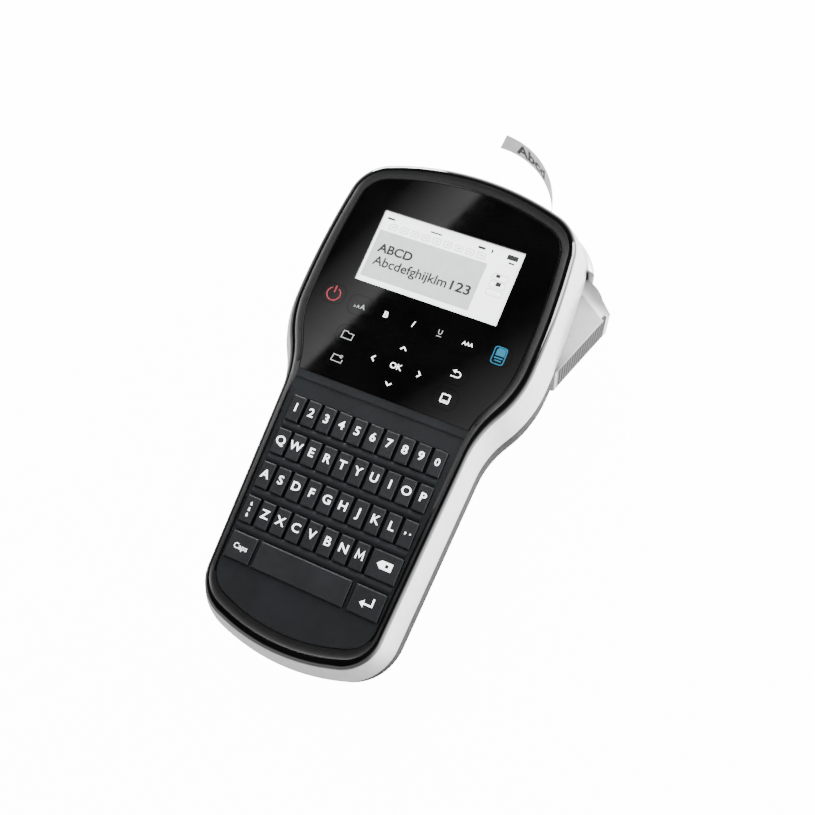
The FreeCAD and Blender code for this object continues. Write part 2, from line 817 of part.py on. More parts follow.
def make_keyboard():
    """All raised keys."""
    make_key_row("number_keys", 0, 10)
    make_key_row("top_letter_keys", 1, 10)
    make_key_row("middle_letter_keys", 2, 10)
    make_key_row("bottom_letter_keys", 3, 8)
    make_wide_key("backspace_key", column(8.5), 3, "backspace_width")
    for label, key in bottom_row_keys().items():
        make_wide_key(label, key[0], 4, label.replace("_key", "_width"))


# ---------------------------------------------------------------- electronics


def make_lcd_module():
    """Display module: backlight block with the glass standing up into the panel window."""
    body = new_body("lcd_module")
    base = flat_sketch(body, "Module", "board_level + board_thick")
    rectangle(base, "window_width + 2 * display_rim", "window_length + 2 * display_rim")
    pad(body, base, "ModulePad", "panel_seat_level - board_level - board_thick - 0.1")
    glass = flat_sketch(body, "Glass", "board_level + board_thick")
    rectangle(glass, "window_width - 0.2", "window_length - 0.2")
    pad(body, glass, "GlassPad", "glass_level - board_level - board_thick")
    keep(body, "lcd_module", (0, size("window_centre"), 0))


def make_main_board():
    """Circuit board that follows the case outline."""
    board = prism(case_wire(size("board_level"), flare(0, 3.6)), size("board_thick"))
    shaped("main_board", board)


def make_keymat():
    """Rubber mat between keys and board, with a plunger under every key."""
    low = size("keymat_level")
    sheet = prism(case_wire(low, flare(0, 5.0)), size("keymat_thick"))
    sheet = sheet.common(block(-60, 60, -92, 38.2, low, low + 2))
    spots = [(column(i), row_level(row)) for row in range(3) for i in range(10)]
    spots += [(column(i), row_level(3)) for i in range(8)]
    spots += [(column(8.5), row_level(3))]
    spots += [(key[0], row_level(4)) for key in bottom_row_keys().values()]
    spots += [key[:2] for key in soft_keys().values()]
    foot = size("board_level") + size("board_thick")
    plungers = [rod(size("plunger_radius"), low - foot - 0.1, x, y, foot + 0.2) for x, y in spots]
    shaped("keymat", fused([sheet] + plungers))


def make_board_components():
    """Chips and connectors on the underside of the board."""
    high = size("board_level")
    chips = [
        block(-12, 12, -2, 14, high - 1.2, high),
        block(-30, -18, 26, 38, high - 1.4, high),
        block(18, 30, 24, 40, high - 1.0, high),
        block(-24, -12, 56, 70, high - 1.2, high),
        block(8, 16, 60, 66, high - 2.4, high),
        block(-8, 8, -22, -16, high - 3.0, high),
    ]
    cans = [rod(2.6, 5.4, x, 48, high - 5.4) for x in (-34, -26, 34)]
    shaped("board_components", Part.makeCompound(chips + cans))


def make_usb_socket():
    """Socket on the underside of the board, facing out of the left side."""
    high = size("board_level")
    width = size("socket_width")
    height = size("socket_height")
    half = width / 2
    spot = size("socket_spot")
    shell = block(-50.0, -50.0 + size("socket_length"), spot - half, spot + half, high - height, high)
    mouth = block(-50.1, -46.2, spot - half + 0.4, spot + half - 0.4, high - height + 0.4, high - 0.4)
    tongue = block(-49.4, -46.0, spot - 2.4, spot + 2.4, high - 1.9, high - 1.3)
    shaped("usb_socket", shell.cut(mouth).fuse(tongue))


def make_battery_pack():
    """Rechargeable pack in the grip."""
    body = new_body("battery_pack")
    base = flat_sketch(body, "Cell", "battery_level")
    rectangle(base, "battery_width", "battery_length")
    tower = pad(body, base, "CellPad", "battery_height")
    length = size("battery_length")
    soften(body, tower, "CellEdges", lambda e: abs(e.BoundBox.YLength - length) < 1e-4, "wall")
    keep(body, "battery_pack", (0, size("battery_centre"), 0))


# ---------------------------------------------------------------- tape feed


def polar(centre, distance, degrees):
    """Point at a distance and direction from another."""
    turn = math.radians(degrees)
    return V(centre.x + distance * math.cos(turn), centre.y + distance * math.sin(turn), 0)


def mesh_distance(one, two):
    """Centre distance of two meshing gears."""
    return size("gear_module") * (TEETH[one] + TEETH[two]) / 2


def gear_centres():
    """Centres of the gear train, from the platen down to the motor, and of the ribbon take-up."""
    platen = V(size("tape_line") + size("tape_thick") / 2 + 0.05 + size("platen_radius"), 79.5, 0)
    upper = polar(platen, mesh_distance("platen", "upper"), 240)
    lower = polar(upper, mesh_distance("upper", "lower"), 260)
    pinion = polar(lower, mesh_distance("lower", "pinion"), 245)
    takeup = polar(upper, mesh_distance("upper", "takeup"), 165)
    return {"platen": platen, "upper": upper, "lower": lower, "pinion": pinion, "takeup": takeup}


def gear_phases():
    """Angle of one tooth of each gear so that neighbours mesh at rest."""
    phases = {"platen": 240.0}
    for driver, driven, direction in (
        ("platen", "upper", 240.0),
        ("upper", "lower", 260.0),
        ("lower", "pinion", 245.0),
        ("upper", "takeup", 165.0),
    ):
        share = ((direction - phases[driver]) * TEETH[driver] / 360.0) % 1.0
        phases[driven] = direction + 180.0 + (share + 0.5) * 360.0 / TEETH[driven]
    return phases


def gear_blank(teeth, phase, thick):
    """Spur gear about the origin with stub involute teeth and a little backlash."""
    module = size("gear_module")
    pitch_r = module * teeth / 2
    base_r = pitch_r * math.cos(math.radians(size("pressure_angle")))
    tip_r = pitch_r + 0.78 * module
    root_r = pitch_r - 1.05 * module
    spread = math.tan(math.radians(size("pressure_angle"))) - math.radians(size("pressure_angle"))
    half_tooth = math.pi / (2 * teeth) - 0.06 / pitch_r
    steps = 4
    start_r = max(base_r, root_r)
    points = []
    for tooth in range(teeth):
        middle = math.radians(phase) + 2 * math.pi * tooth / teeth
        flank = []
        for i in range(steps + 1):
            radius = start_r + (tip_r - start_r) * i / steps
            roll = math.sqrt(max(radius ** 2 / base_r ** 2 - 1, 0))
            flank.append((radius, half_tooth + spread - (roll - math.atan(roll))))
        flank.insert(0, (root_r - 0.01, flank[0][1] + 0.02))
        points += [V(r * math.cos(middle - a), r * math.sin(middle - a), 0) for r, a in flank]
        points += [V(r * math.cos(middle + a), r * math.sin(middle + a), 0) for r, a in reversed(flank)]
    return prism(Part.makePolygon(points + points[:1]), thick)


def make_gear(label, name, bore, extras=()):
    """Gear on its centre, with a bore and any shafts that turn with it."""
    blank = gear_blank(TEETH[name], gear_phases()[name], size("gear_thick"))
    solid = fused([blank] + list(extras)) if extras else blank
    if bore:
        solid = solid.cut(rod(bore, 60.0, 0, 0, -40.0))
    centre = gear_centres()[name]
    shaped(label, solid, (centre.x, centre.y, size("gear_level")))


def make_gears():
    """Gear train from the motor to the platen and the ribbon take-up."""
    bore = size("post_radius") + size("running_gap")
    level = size("gear_level")
    make_gear("motor_pinion", "pinion", 0)
    spots = [polar(V(0, 0, 0), 7.2, 60 * i) for i in range(6)]
    spokes = [rod(1.9, 8.0, spot.x, spot.y, -2.0) for spot in spots]
    for label, name in (("lower_idler", "lower"), ("upper_idler", "upper")):
        blank = gear_blank(TEETH[name], gear_phases()[name], size("gear_thick"))
        centre = gear_centres()[name]
        shaped(label, blank.cut(spokes + [rod(bore, 10, 0, 0, -3)]), (centre.x, centre.y, level))
    make_gear("platen_gear", "platen", 1.2)
    foot = size("tape_level") - 1.0
    spline = [rod(1.9, level - foot, 0, 0, foot - level)]
    spline += [block(-2.2, 2.2, -0.4, 0.4, foot - level, -size("frame_thick") - 1.6)]
    make_gear("takeup_spindle", "takeup", 0, spline)


def make_platen_roller():
    """Rubber-covered roller that pulls the tape past the print head, on its shaft."""
    low = size("tape_level") - 0.5
    platen = gear_centres()["platen"]
    sleeve = DOC.addObject("Part::Cylinder", "PlatenSleeve")
    bind(sleeve, Radius="platen_radius", Height="platen_length")
    shaft = DOC.addObject("Part::Cylinder", "PlatenShaft")
    bind(shaft, Radius="1.2", Height="gear_level + gear_thick + 0.6 - tape_level + 1.5")
    shaft.Placement.Base = V(0, 0, -1.0)
    joined = DOC.addObject("Part::MultiFuse", "platen_roller")
    joined.Shapes = [sleeve, shaft]
    keep(joined, "platen_roller", (platen.x, platen.y, low))


def make_spool(label, centre, outer, inner_bore, low, high):
    """Wound spool with a thin flange at each end."""
    disc = DOC.addObject("Part::Cylinder", label + "_winding")
    bind(disc, Radius=outer, Height="tape_width")
    core = DOC.addObject("Part::Cylinder", label + "_core")
    bind(core, Radius="spool_core_radius + 0.6", Height="%.2f" % (high - low))
    core.Placement.Base = V(0, 0, low - size("tape_level"))
    body = DOC.addObject("Part::MultiFuse", label + "_body")
    body.Shapes = [disc, core]
    bore = DOC.addObject("Part::Cylinder", label + "_bore")
    bind(bore, Radius=inner_bore, Height="60")
    bore.Placement.Base = V(0, 0, -30)
    spool = DOC.addObject("Part::Cut", label)
    spool.Base = body
    spool.Tool = bore
    keep(spool, label, (centre.x, centre.y, size("tape_level")))


def make_spools():
    """Tape roll and the two ribbon spools."""
    low = size("cassette_level") + size("cassette_wall") + 0.3
    high = size("cassette_level") + size("cassette_height") - size("cassette_wall") - 0.3
    bore = "post_radius + running_gap"
    make_spool("ribbon_supply_spool", supply_centre(), "supply_spool_radius", bore, low, high)
    make_spool("ribbon_takeup_spool", gear_centres()["takeup"], "takeup_spool_radius", "2.3", low, high)
    make_spool("tape_roll", roll_centre(), "tape_roll_radius", bore, low, high)


def roll_centre():
    """Centre of the tape roll in the cassette."""
    return V(-14.0, 58.0, 0)


def supply_centre():
    """Centre of the ribbon supply spool in the cassette."""
    return V(12.0, 54.0, 0)


def cassette_outline(skin):
    """Cassette block with the corner cut away for the print head and platen."""
    low = size("cassette_level") + skin
    high = size("cassette_level") + size("cassette_height") - skin
    whole = rounded_block(-32 + skin, 30 - skin, 36 + skin, 84.5 - skin, low, high, 3.0)
    return whole.cut(block(20.5 - skin, 40, 69 - skin, 99, low - 5, high + 5))


def make_cassette_body():
    """Tape cassette shell with a post for each spool."""
    shell = cassette_outline(0).cut(cassette_outline(size("cassette_wall")))
    low = size("cassette_level") + 0.5
    height = size("cassette_height") - 1.0
    for centre in (roll_centre(), supply_centre()):
        shell = shell.fuse(rod(size("post_radius"), height, centre.x, centre.y, low))
    takeup = gear_centres()["takeup"]
    line = size("tape_line")
    level = size("tape_level")
    shell = shell.cut([
        rod(3.0, 60, takeup.x, takeup.y, 0),
        block(line - 0.5, line + 0.5, 60, 75, level - 0.4, level + size("tape_width") + 0.4),
        rounded_block(-20, 4, 44, 66, 7, size("cassette_level") + size("cassette_wall"), 2.0),
    ])
    shaped("cassette_body", shell)


def make_tape_web():
    """Blank tape from the roll round the guide corner and up past the print head."""
    line = size("tape_line")
    half = size("tape_thick") / 2
    height = size("tape_width")
    level = size("tape_level")
    low = roll_centre().y - size("tape_roll_radius") - 2 * half
    bend = 8.0
    hub = V(line - bend, low + bend, level)
    flat = block(roll_centre().x, hub.x, low - half, low + half, level, level + height)
    ring = rod(bend + half, height, hub.x, hub.y, level).cut(rod(bend - half, height, hub.x, hub.y, level))
    turn = ring.common(block(hub.x, hub.x + 20, hub.y - 20, hub.y, level, level + height))
    rise = block(line - half, line + half, hub.y, size("cut_level") - 0.6, level, level + height)
    shaped("tape_web", flat.fuse([turn, rise]))


def make_label_tape():
    """Cut label that stands in the exit slot and curls over to the left, cut on a slant at its free end."""
    line = size("tape_line")
    half = size("tape_thick") / 2
    level = size("tape_level")
    height = size("tape_width")
    curl = size("tape_curl")
    start = size("cut_level") + 0.6
    knee = size("tape_curl_start")
    straight = block(line - half, line + half, start, knee, level, level + height)
    hub = V(line - curl, knee, level)
    ring = Part.makeCylinder(curl + half, height, hub, UP, size("tape_curl_angle") + 3.0)
    hole = Part.makeCylinder(curl - half, height, hub, UP, 360)
    turn = math.radians(size("tape_curl_angle"))
    outward = V(math.cos(turn), math.sin(turn), 0)
    end = hub + outward * curl + V(0, 0, height / 2)
    beyond = Part.makeBox(4, 20, 40, end + V(-2, 0, -20))
    beyond.rotate(end, UP, size("tape_curl_angle"))
    beyond.rotate(end, outward, size("tape_end_slant"))
    shaped("label_tape", straight.fuse(ring.cut(hole).cut(beyond)))


def make_print_head():
    """Thermal print head standing on the frame beside the tape."""
    face = size("tape_line") - size("tape_thick") / 2 - 0.03
    low = size("tape_level") - 1.0
    high = size("frame_level")
    slab = block(face - 2.6, face - 0.4, 73.5, 84.6, low, high)
    bead = block(face - 1.0, face, 78.7, 80.3, low + 0.6, low + 13.4)
    fins = [block(face - 4.6, face - 2.5, y, y + 0.8, low, high) for y in (74.0, 76.2, 78.4, 80.6, 82.8)]
    shaped("print_head", fused([slab, bead] + fins))


def make_drive_motor():
    """Small direct-current motor hung under the frame, with its shaft up into the pinion."""
    centre = gear_centres()["pinion"]
    low = size("frame_level") - size("motor_length")
    can = rod(size("motor_radius"), size("motor_length"))
    can = can.common(block(-20, 20, -size("motor_flat"), size("motor_flat"), 0, size("motor_length")))
    cap = rod(2.6, 1.2, 0, 0, -1.2)
    shaped("drive_motor", can.fuse(cap), (centre.x, centre.y, low))


def make_mechanism_frame():
    """Plate that carries the gears, the print head and the blade guides."""
    low = size("frame_level")
    high = low + size("frame_thick")
    plate = rounded_block(-36, 42.6, 12.5, 92, low, high, 6)
    plate = plate.common(prism(case_wire(low, flare(0, 3.0)), 3.0))
    ears = [rod(4.6, size("frame_thick"), x, y, low) for x, y in HEAD_SCREWS]
    ears += [block(-42, -34, 79, 85, low, high), block(38, 42, 15, 23, low, high)]
    centres = gear_centres()
    idlers = [centres["upper"], centres["lower"]]
    posts = [rod(size("post_radius"), high - low + 4.4, spot.x, spot.y, low) for spot in idlers]
    collars = [rod(2.6, 0.3, spot.x, spot.y, high) for spot in idlers]
    guides = [
        block(36, 41.2, 83.4, 84.9, 12.6, low),
        block(36, 42, 89.9, 91.2, 12.6, low),
        block(23.5, 27.9, 86.2, 88.75, 11.5, low),
    ]
    frame = fused([plate] + ears + posts + collars + guides)
    holes = [rod(size("screw_radius") + 0.15, 9, x, y, low - 2) for x, y in HEAD_SCREWS]
    holes += [
        rod(1.2 + size("running_gap"), 9, centres["platen"].x, centres["platen"].y, low - 2),
        rod(1.9 + size("running_gap"), 9, centres["takeup"].x, centres["takeup"].y, low - 2),
        rod(1.3, 9, centres["pinion"].x, centres["pinion"].y, low - 2),
        rod(5.0, 9, -18, 36, low - 2),
        rod(5.0, 9, -18, 62, low - 2),
    ]
    shaped("mechanism_frame", frame.cut(holes))


# ---------------------------------------------------------------- cutter


def lever_ramp():
    """Outer edge of the lever, from its tip down to its heel."""
    tip = V(66.7, 69.6, size("lever_level"))
    heel = size("lever_heel")
    low = V(size("pivot_east") + heel * math.cos(1.0), size("pivot_north") - heel * math.sin(1.0), tip.z)
    return Part.Arc(tip, V(61.3, 54.8, tip.z), low).toShape()


def along_edge(edge, share):
    """Point at a share of the way along an edge."""
    return edge.valueAt(edge.FirstParameter + (edge.LastParameter - edge.FirstParameter) * share)


def lever_outline():
    """Wedge outline of the cutter lever, seen from the front."""
    heel = size("lever_heel")
    pivot = V(size("pivot_east"), size("pivot_north"), size("lever_level"))
    ramp = lever_ramp()
    tip, low_outer = ramp.Vertexes[0].Point, ramp.Vertexes[-1].Point
    inner_top = V(49.9, 82.0, pivot.z)
    shoulder = V(62.0, 75.2, pivot.z)
    nose = V(66.2, 70.9, pivot.z)
    low_inner = pivot + V(-heel, 0, 0)
    return Part.Wire([
        Part.makeLine(low_inner, inner_top),
        Part.Arc(inner_top, V(57.0, 80.0, pivot.z), shoulder).toShape(),
        Part.makeLine(shoulder, nose),
        Part.Arc(nose, V(66.75, 70.3, pivot.z), tip).toShape(),
        ramp,
        Part.Arc(low_outer, pivot + V(-heel * 0.3, -heel * 0.954, 0), low_inner).toShape(),
    ])


def make_cutter_lever():
    """Cutter lever: wedge on an upright pivot, with a hollow for the fingertip along its upper end."""
    body = prism(lever_outline(), size("lever_height"))
    along = unit(V(66.2, 70.9, 0) - V(49.9, 82.0, 0))
    start = V(49.9, 83.4, size("lever_level") + size("lever_height") + 3.2) - along * 10
    hollow = Part.makeCylinder(size("lever_hollow"), 40, start, along)
    body = body.cut([hollow, lever_pivot(size("running_gap")), lever_pad_space()])
    shaped("cutter_lever", body)


def lever_pad_space():
    """Strip along the outer ramp of the lever that holds the ribbed pad."""
    margin = size("pad_margin")
    ramp = lever_ramp()
    points = [along_edge(ramp, share) for share in (0.06, 0.5, 0.95)]
    inward = V(-1.2, 0.35, 0)
    inner = [p + inward for p in points]
    outer = [p - inward for p in points]
    loop = Part.Wire([
        Part.Arc(inner[0], inner[1], inner[2]).toShape(),
        Part.makeLine(inner[2], outer[2]),
        Part.Arc(outer[2], outer[1], outer[0]).toShape(),
        Part.makeLine(outer[0], inner[0]),
    ])
    return prism(loop, size("lever_height") - 2 * margin).translated(V(0, 0, margin))


def make_lever_grip():
    """Ribbed pad set into the lever's outer ramp."""
    pad_solid = lever_pad_space().common(prism(lever_outline(), size("lever_height")))
    ramp = lever_ramp()
    count = 18
    grooves = []
    for i in range(count):
        spot = along_edge(ramp, 0.1 + 0.81 * i / (count - 1))
        grooves.append(rod(0.5, size("lever_height"), spot.x + 0.15, spot.y - 0.07, size("lever_level")))
    shaped("lever_grip", pad_solid.cut(grooves))


def lever_pivot(gap):
    """Upright rod on the lever's pivot line, wider than the pin by a gap all round."""
    low = size("lever_level") - 1.6
    return rod(size("pivot_radius") + gap, 60, size("pivot_east"), size("pivot_north"), low)


def make_cutter_pin():
    """Steel pin the lever turns on, held in the shell floor and under the band."""
    low = size("lever_level") - 1.6
    pin = DOC.addObject("Part::Cylinder", "cutter_pin")
    bind(pin, Radius="pivot_radius", Height="rear_seam_level - lever_level + 1.6")
    keep(pin, "cutter_pin", (size("pivot_east"), size("pivot_north"), low))


def make_blade_carriage():
    """Sliding carriage pushed by the top of the lever, with a lug that carries the blade."""
    bar = block(35.4, 48.6, 85.1, 88.5, 14.0, 25.0)
    pad_block = block(47.4, 49.7, 79.6, 85.2, 16.0, 23.0)
    lug = block(35.4, 41.0, 88.4, 88.9, 15.0, 24.0)
    shaped("blade_carriage", bar.fuse([pad_block, lug]))


def make_cutter_blade():
    """Blade with a slanted edge that crosses the tape when the carriage moves in."""
    level = size("tape_level")
    y = size("cut_level") - size("blade_thick") / 2
    low = level - 1.0
    high = level + 13.2
    corners = [V(41.0, y, low), V(32.2, y, low), V(29.6, y, high), V(41.0, y, high)]
    face = Part.Face(Part.makePolygon(corners + corners[:1]))
    shaped("cutter_blade", face.extrude(V(0, size("blade_thick"), 0)))


# ---------------------------------------------------------------- covers


def make_cassette_cover():
    """Hatch over the cassette bay, hinged at the neck side."""
    half = size("hatch_half_width")
    low = size("hatch_low")
    high = size("hatch_high")
    thick = size("hatch_thick")
    plate = rounded_block(-half, half, low, high, 0, thick, size("hatch_round"))
    plate = plate.makeChamfer(0.5, edges_at(plate, 0.0))
    ribs = [rounded_block(-26, 26, y, y + 1.2, thick - 0.2, thick + 5.4, 0.5) for y in (48.0, 72.0)]
    catch = [block(x - 4, x + 4, high - 3.4, high - 2.0, thick - 0.2, thick + 2.6) for x in (-12, 12)]
    dimples = [Part.makeCylinder(0.7, 24, V(-12, high - 9 + 2.2 * i, 0.0), V(1, 0, 0)) for i in range(3)]
    arms = []
    axis_y, axis_z = hinge_line()
    for x in HINGE_SPOTS:
        arms.append(block(x - 5, x + 5, axis_y, low + 2.0, 0.1, thick))
        arms.append(Part.makeCylinder(size("hinge_radius"), 10, V(x - 5, axis_y, axis_z), V(1, 0, 0)))
    cover = fused([plate] + ribs + catch + arms).cut(dimples)
    bore = size("hinge_pin_radius") + size("running_gap")
    bores = [Part.makeCylinder(bore, 20, V(x - 10, axis_y, axis_z), V(1, 0, 0)) for x in HINGE_SPOTS]
    shaped("cassette_cover", cover.cut(bores))


def hinge_line():
    """Height along the case and level of the hatch hinge."""
    return size("hatch_low") - size("hinge_reach"), size("hinge_radius") + 0.1


def hatch_pin_rods():
    """One pin each side of the hatch hinge."""
    axis_y, axis_z = hinge_line()
    radius = size("hinge_pin_radius")
    return [Part.makeCylinder(radius, 13.2, V(x - 6.6, axis_y, axis_z), V(1, 0, 0)) for x in HINGE_SPOTS]


def make_hatch_pins():
    """Steel pins through the hatch hinge, one each side."""
    shaped("hatch_pins", Part.makeCompound(hatch_pin_rods()))


def make_battery_cover():
    """Door over the battery: outer plate with grip ribs and an inner tongue."""
    level = size("grip_back_level")
    thick = size("door_thick")
    half = size("door_width") / 2
    low = size("battery_centre") - size("door_length") / 2
    high = low + size("door_length")
    plate = rounded_block(-half, half, low, high, level - thick, level - 0.05, 5.0)
    plate = plate.makeFillet(0.9, edges_at(plate, level - thick))
    start = low + 3.3 + size("door_travel")
    tongue = block(-half + 3.3, half - 3.3, start, high - 3.3, level - 0.1, level + 1.6)
    rows = [V(-11, low + 8 + 2.6 * i, level - thick) for i in range(4)]
    grooves = [Part.makeCylinder(0.6, 22, row, V(1, 0, 0)) for row in rows]
    shaped("battery_cover", plate.fuse(tongue).cut(grooves))


# ---------------------------------------------------------------- assembly and export


def export_parts():
    """Check every sub-part and write it as its own file."""
    DOC.recompute()
    for obj in DOC.Objects:
        if "Invalid" in obj.State or "Error" in obj.State:
            raise RuntimeError("bad state: %s %s" % (obj.Label, obj.State))
    os.makedirs("parts", exist_ok=True)
    for obj in PARTS:
        shape = obj.Shape
        if shape.isNull() or not shape.isValid():
            raise RuntimeError("bad shape: " + obj.Label)
        shape.exportStep(os.path.join("parts", obj.Label + ".step"))


def main():
    fill_sheet()
    make_front_bezel()
    make_silver_band()
    make_rear_shell()
    make_case_screws()
    make_display_panel()
    make_keyboard_fascia()
    make_soft_keys()
    make_keyboard()
    make_lcd_module()
    make_main_board()
    make_keymat()
    make_board_components()
    make_usb_socket()
    make_battery_pack()
    make_gears()
    make_platen_roller()
    make_spools()
    make_cassette_body()
    make_tape_web()
    make_label_tape()
    make_print_head()
    make_drive_motor()
    make_mechanism_frame()
    make_cutter_lever()
    make_lever_grip()
    make_cutter_pin()
    make_blade_carriage()
    make_cutter_blade()
    make_cassette_cover()
    make_hatch_pins()
    make_battery_cover()
    export_parts()


main()
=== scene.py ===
"""Looks of the handheld label maker: materials, legends, display, label print, light and camera."""
import bpy
import math
from mathutils import Matrix, Vector


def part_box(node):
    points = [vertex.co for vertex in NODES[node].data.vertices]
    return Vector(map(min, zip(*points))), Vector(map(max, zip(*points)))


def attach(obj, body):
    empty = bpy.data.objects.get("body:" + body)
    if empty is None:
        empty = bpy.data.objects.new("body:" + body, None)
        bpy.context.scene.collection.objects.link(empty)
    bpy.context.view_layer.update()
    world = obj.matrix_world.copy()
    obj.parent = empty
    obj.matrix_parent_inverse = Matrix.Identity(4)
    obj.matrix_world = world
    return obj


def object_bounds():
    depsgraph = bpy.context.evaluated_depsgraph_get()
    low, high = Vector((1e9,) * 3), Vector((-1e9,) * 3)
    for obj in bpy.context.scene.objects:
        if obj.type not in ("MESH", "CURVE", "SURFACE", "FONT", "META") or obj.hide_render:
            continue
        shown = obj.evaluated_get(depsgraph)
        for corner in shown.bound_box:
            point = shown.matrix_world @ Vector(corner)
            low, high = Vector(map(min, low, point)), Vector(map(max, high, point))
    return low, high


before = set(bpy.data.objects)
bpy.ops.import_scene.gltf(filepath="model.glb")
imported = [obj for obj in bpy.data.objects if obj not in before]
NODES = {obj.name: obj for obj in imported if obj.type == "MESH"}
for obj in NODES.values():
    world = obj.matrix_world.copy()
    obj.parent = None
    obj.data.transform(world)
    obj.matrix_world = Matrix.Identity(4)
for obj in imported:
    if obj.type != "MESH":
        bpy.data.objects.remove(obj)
CAD_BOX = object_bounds()
MM = 0.001

# Print is a thin slab; the lifts are the gaps between a surface and the underside of its print.
PRINT = 0.02 * MM
RAISED_LIFT = 0.02 * MM
PANEL_LIFT = 0.01 * MM
DISPLAY_TEXT_LIFT = 0.03 * MM

# The curl of the label, as its CAD node has it.
CURL_RADIUS = 36.0 * MM
CURL_DEGREES = 87.0
CURL_HUB_Y = 76.0 * MM
TAPE_THICK = 0.15 * MM

# The camera: its place, its turn in degrees and its lens.
EYE = Vector((81.07, -82.94, 341.1)) * MM
EYE_TURN = (15.4842, 8.3257, 23.1006)
LENS = 35.75

# How much of a font's size its capitals take up.
CAPITAL_SHARE = 0.70

# Sockets of Blender's mix node: the two inputs and the result.
MIX_SOCKETS = {"FLOAT": (2, 3, 0), "RGBA": (6, 7, 2)}

RAISED_ROWS = {
    "number_keys": "1234567890",
    "top_letter_keys": "QWERTYUIOP",
    "middle_letter_keys": "ASDFGHJKL,",
    "bottom_letter_keys": " ZXCVBNM",
}


# ---------------------------------------------------------------- materials


class Shader:
    """Small helper that builds a node material step by step."""

    def __init__(self, name):
        self.mat = bpy.data.materials.new(name)
        self.mat.use_nodes = True
        self.tree = self.mat.node_tree
        self.bsdf = self.tree.nodes["Principled BSDF"]
        self.coords = self.add("ShaderNodeTexCoord").outputs["Object"]

    def add(self, kind, **values):
        node = self.tree.nodes.new(kind)
        for key, value in values.items():
            if hasattr(node, key):
                setattr(node, key, value)
            else:
                node.inputs[key].default_value = value
        return node

    def link(self, source, target):
        self.tree.links.new(source, target)

    def noise(self, scale, detail=3.0, rough=0.55, stretch=None):
        node = self.add("ShaderNodeTexNoise", Scale=scale, Detail=detail, Roughness=rough)
        source = self.coords
        if stretch:
            mapping = self.add("ShaderNodeMapping")
            mapping.inputs["Scale"].default_value = stretch
            self.link(source, mapping.inputs["Vector"])
            source = mapping.outputs["Vector"]
        self.link(source, node.inputs["Vector"])
        return node.outputs["Fac"]

    def ramp(self, fac, low, high, low_at=0.35, high_at=0.65):
        node = self.add("ShaderNodeValToRGB")
        node.color_ramp.elements[0].position = low_at
        node.color_ramp.elements[1].position = high_at
        node.color_ramp.elements[0].color = low
        node.color_ramp.elements[1].color = high
        self.link(fac, node.inputs["Fac"])
        return node.outputs["Color"]

    def feed(self, value, target):
        """Link a socket, or set a plain value."""
        if isinstance(value, bpy.types.NodeSocket):
            self.link(value, target)
        else:
            target.default_value = value

    def remap(self, value, from_low, from_high, to_low=0.0, to_high=1.0):
        node = self.add("ShaderNodeMapRange")
        self.link(value, node.inputs["Value"])
        limits = {"From Min": from_low, "From Max": from_high, "To Min": to_low, "To Max": to_high}
        for name, limit in limits.items():
            node.inputs[name].default_value = limit
        return node.outputs["Result"]

    def dot(self, first, second):
        node = self.add("ShaderNodeVectorMath", operation="DOT_PRODUCT")
        self.feed(first, node.inputs[0])
        self.feed(second, node.inputs[1])
        return node.outputs["Value"]

    def mixed(self, factor, first, second, data_type="RGBA", blend_type="MIX"):
        node = self.add("ShaderNodeMix", data_type=data_type)
        if data_type == "RGBA":
            node.blend_type = blend_type
        below, above, result = MIX_SOCKETS[data_type]
        self.feed(factor, node.inputs[0])
        self.feed(first, node.inputs[below])
        self.feed(second, node.inputs[above])
        return node.outputs[result]

    def geometry(self, output):
        return self.add("ShaderNodeNewGeometry").outputs[output]

    def surface(self, socket):
        self.link(socket, self.tree.nodes["Material Output"].inputs["Surface"])

    def spread(self, fac, low, high):
        """Noise, which stays near its middle, stretched over a whole range."""
        return self.remap(fac, 0.3, 0.7, low, high)

    def colour(self, low, high, scale):
        self.link(self.ramp(self.noise(scale), low + (1,), high + (1,)), self.bsdf.inputs["Base Color"])
        return self

    def roughness(self, low, high, scale, stretch=None):
        grain = self.noise(scale, 4.0, 0.6, stretch)
        self.link(self.spread(grain, low, high), self.bsdf.inputs["Roughness"])
        return self

    def bump(self, scale, strength, depth, kind="noise", previous=None, stretch=None):
        if kind == "noise":
            height = self.noise(scale, 2.0, 0.5, stretch)
        else:
            cells = self.add("ShaderNodeTexVoronoi", Scale=scale)
            self.link(self.coords, cells.inputs["Vector"])
            height = cells.outputs["Distance"]
        node = self.add("ShaderNodeBump", Strength=strength, Distance=depth)
        self.link(height, node.inputs["Height"])
        if previous:
            self.link(previous, node.inputs["Normal"])
        self.link(node.outputs["Normal"], self.bsdf.inputs["Normal"])
        return node.outputs["Normal"]

    def edge_wear(self, base_low, base_high, scale, worn):
        """Lighter colour where edges are convex, broken up by noise."""
        bevel = self.add("ShaderNodeBevel", samples=4, Radius=0.4 * MM)
        flat = self.dot(bevel.outputs["Normal"], self.geometry("Normal"))
        edge = self.ramp(flat, (1, 1, 1, 1), (0, 0, 0, 1), 0.90, 0.995)
        broken = self.ramp(self.noise(900.0, 4.0), (0, 0, 0, 1), (1, 1, 1, 1), 0.35, 0.7)
        both = self.mixed(1.0, edge, broken, blend_type="MULTIPLY")
        base = self.ramp(self.noise(scale), base_low + (1,), base_high + (1,))
        self.link(self.mixed(both, base, worn + (1,)), self.bsdf.inputs["Base Color"])
        return self

    def below(self, name):
        """The socket that feeds an input of the surface now."""
        return self.bsdf.inputs[name].links[0].from_socket

    def over_base(self, factor, colour):
        """Lay another colour over the base where the factor is high."""
        above = self.mixed(factor, self.below("Base Color"), colour + (1,))
        self.link(above, self.bsdf.inputs["Base Color"])
        return self

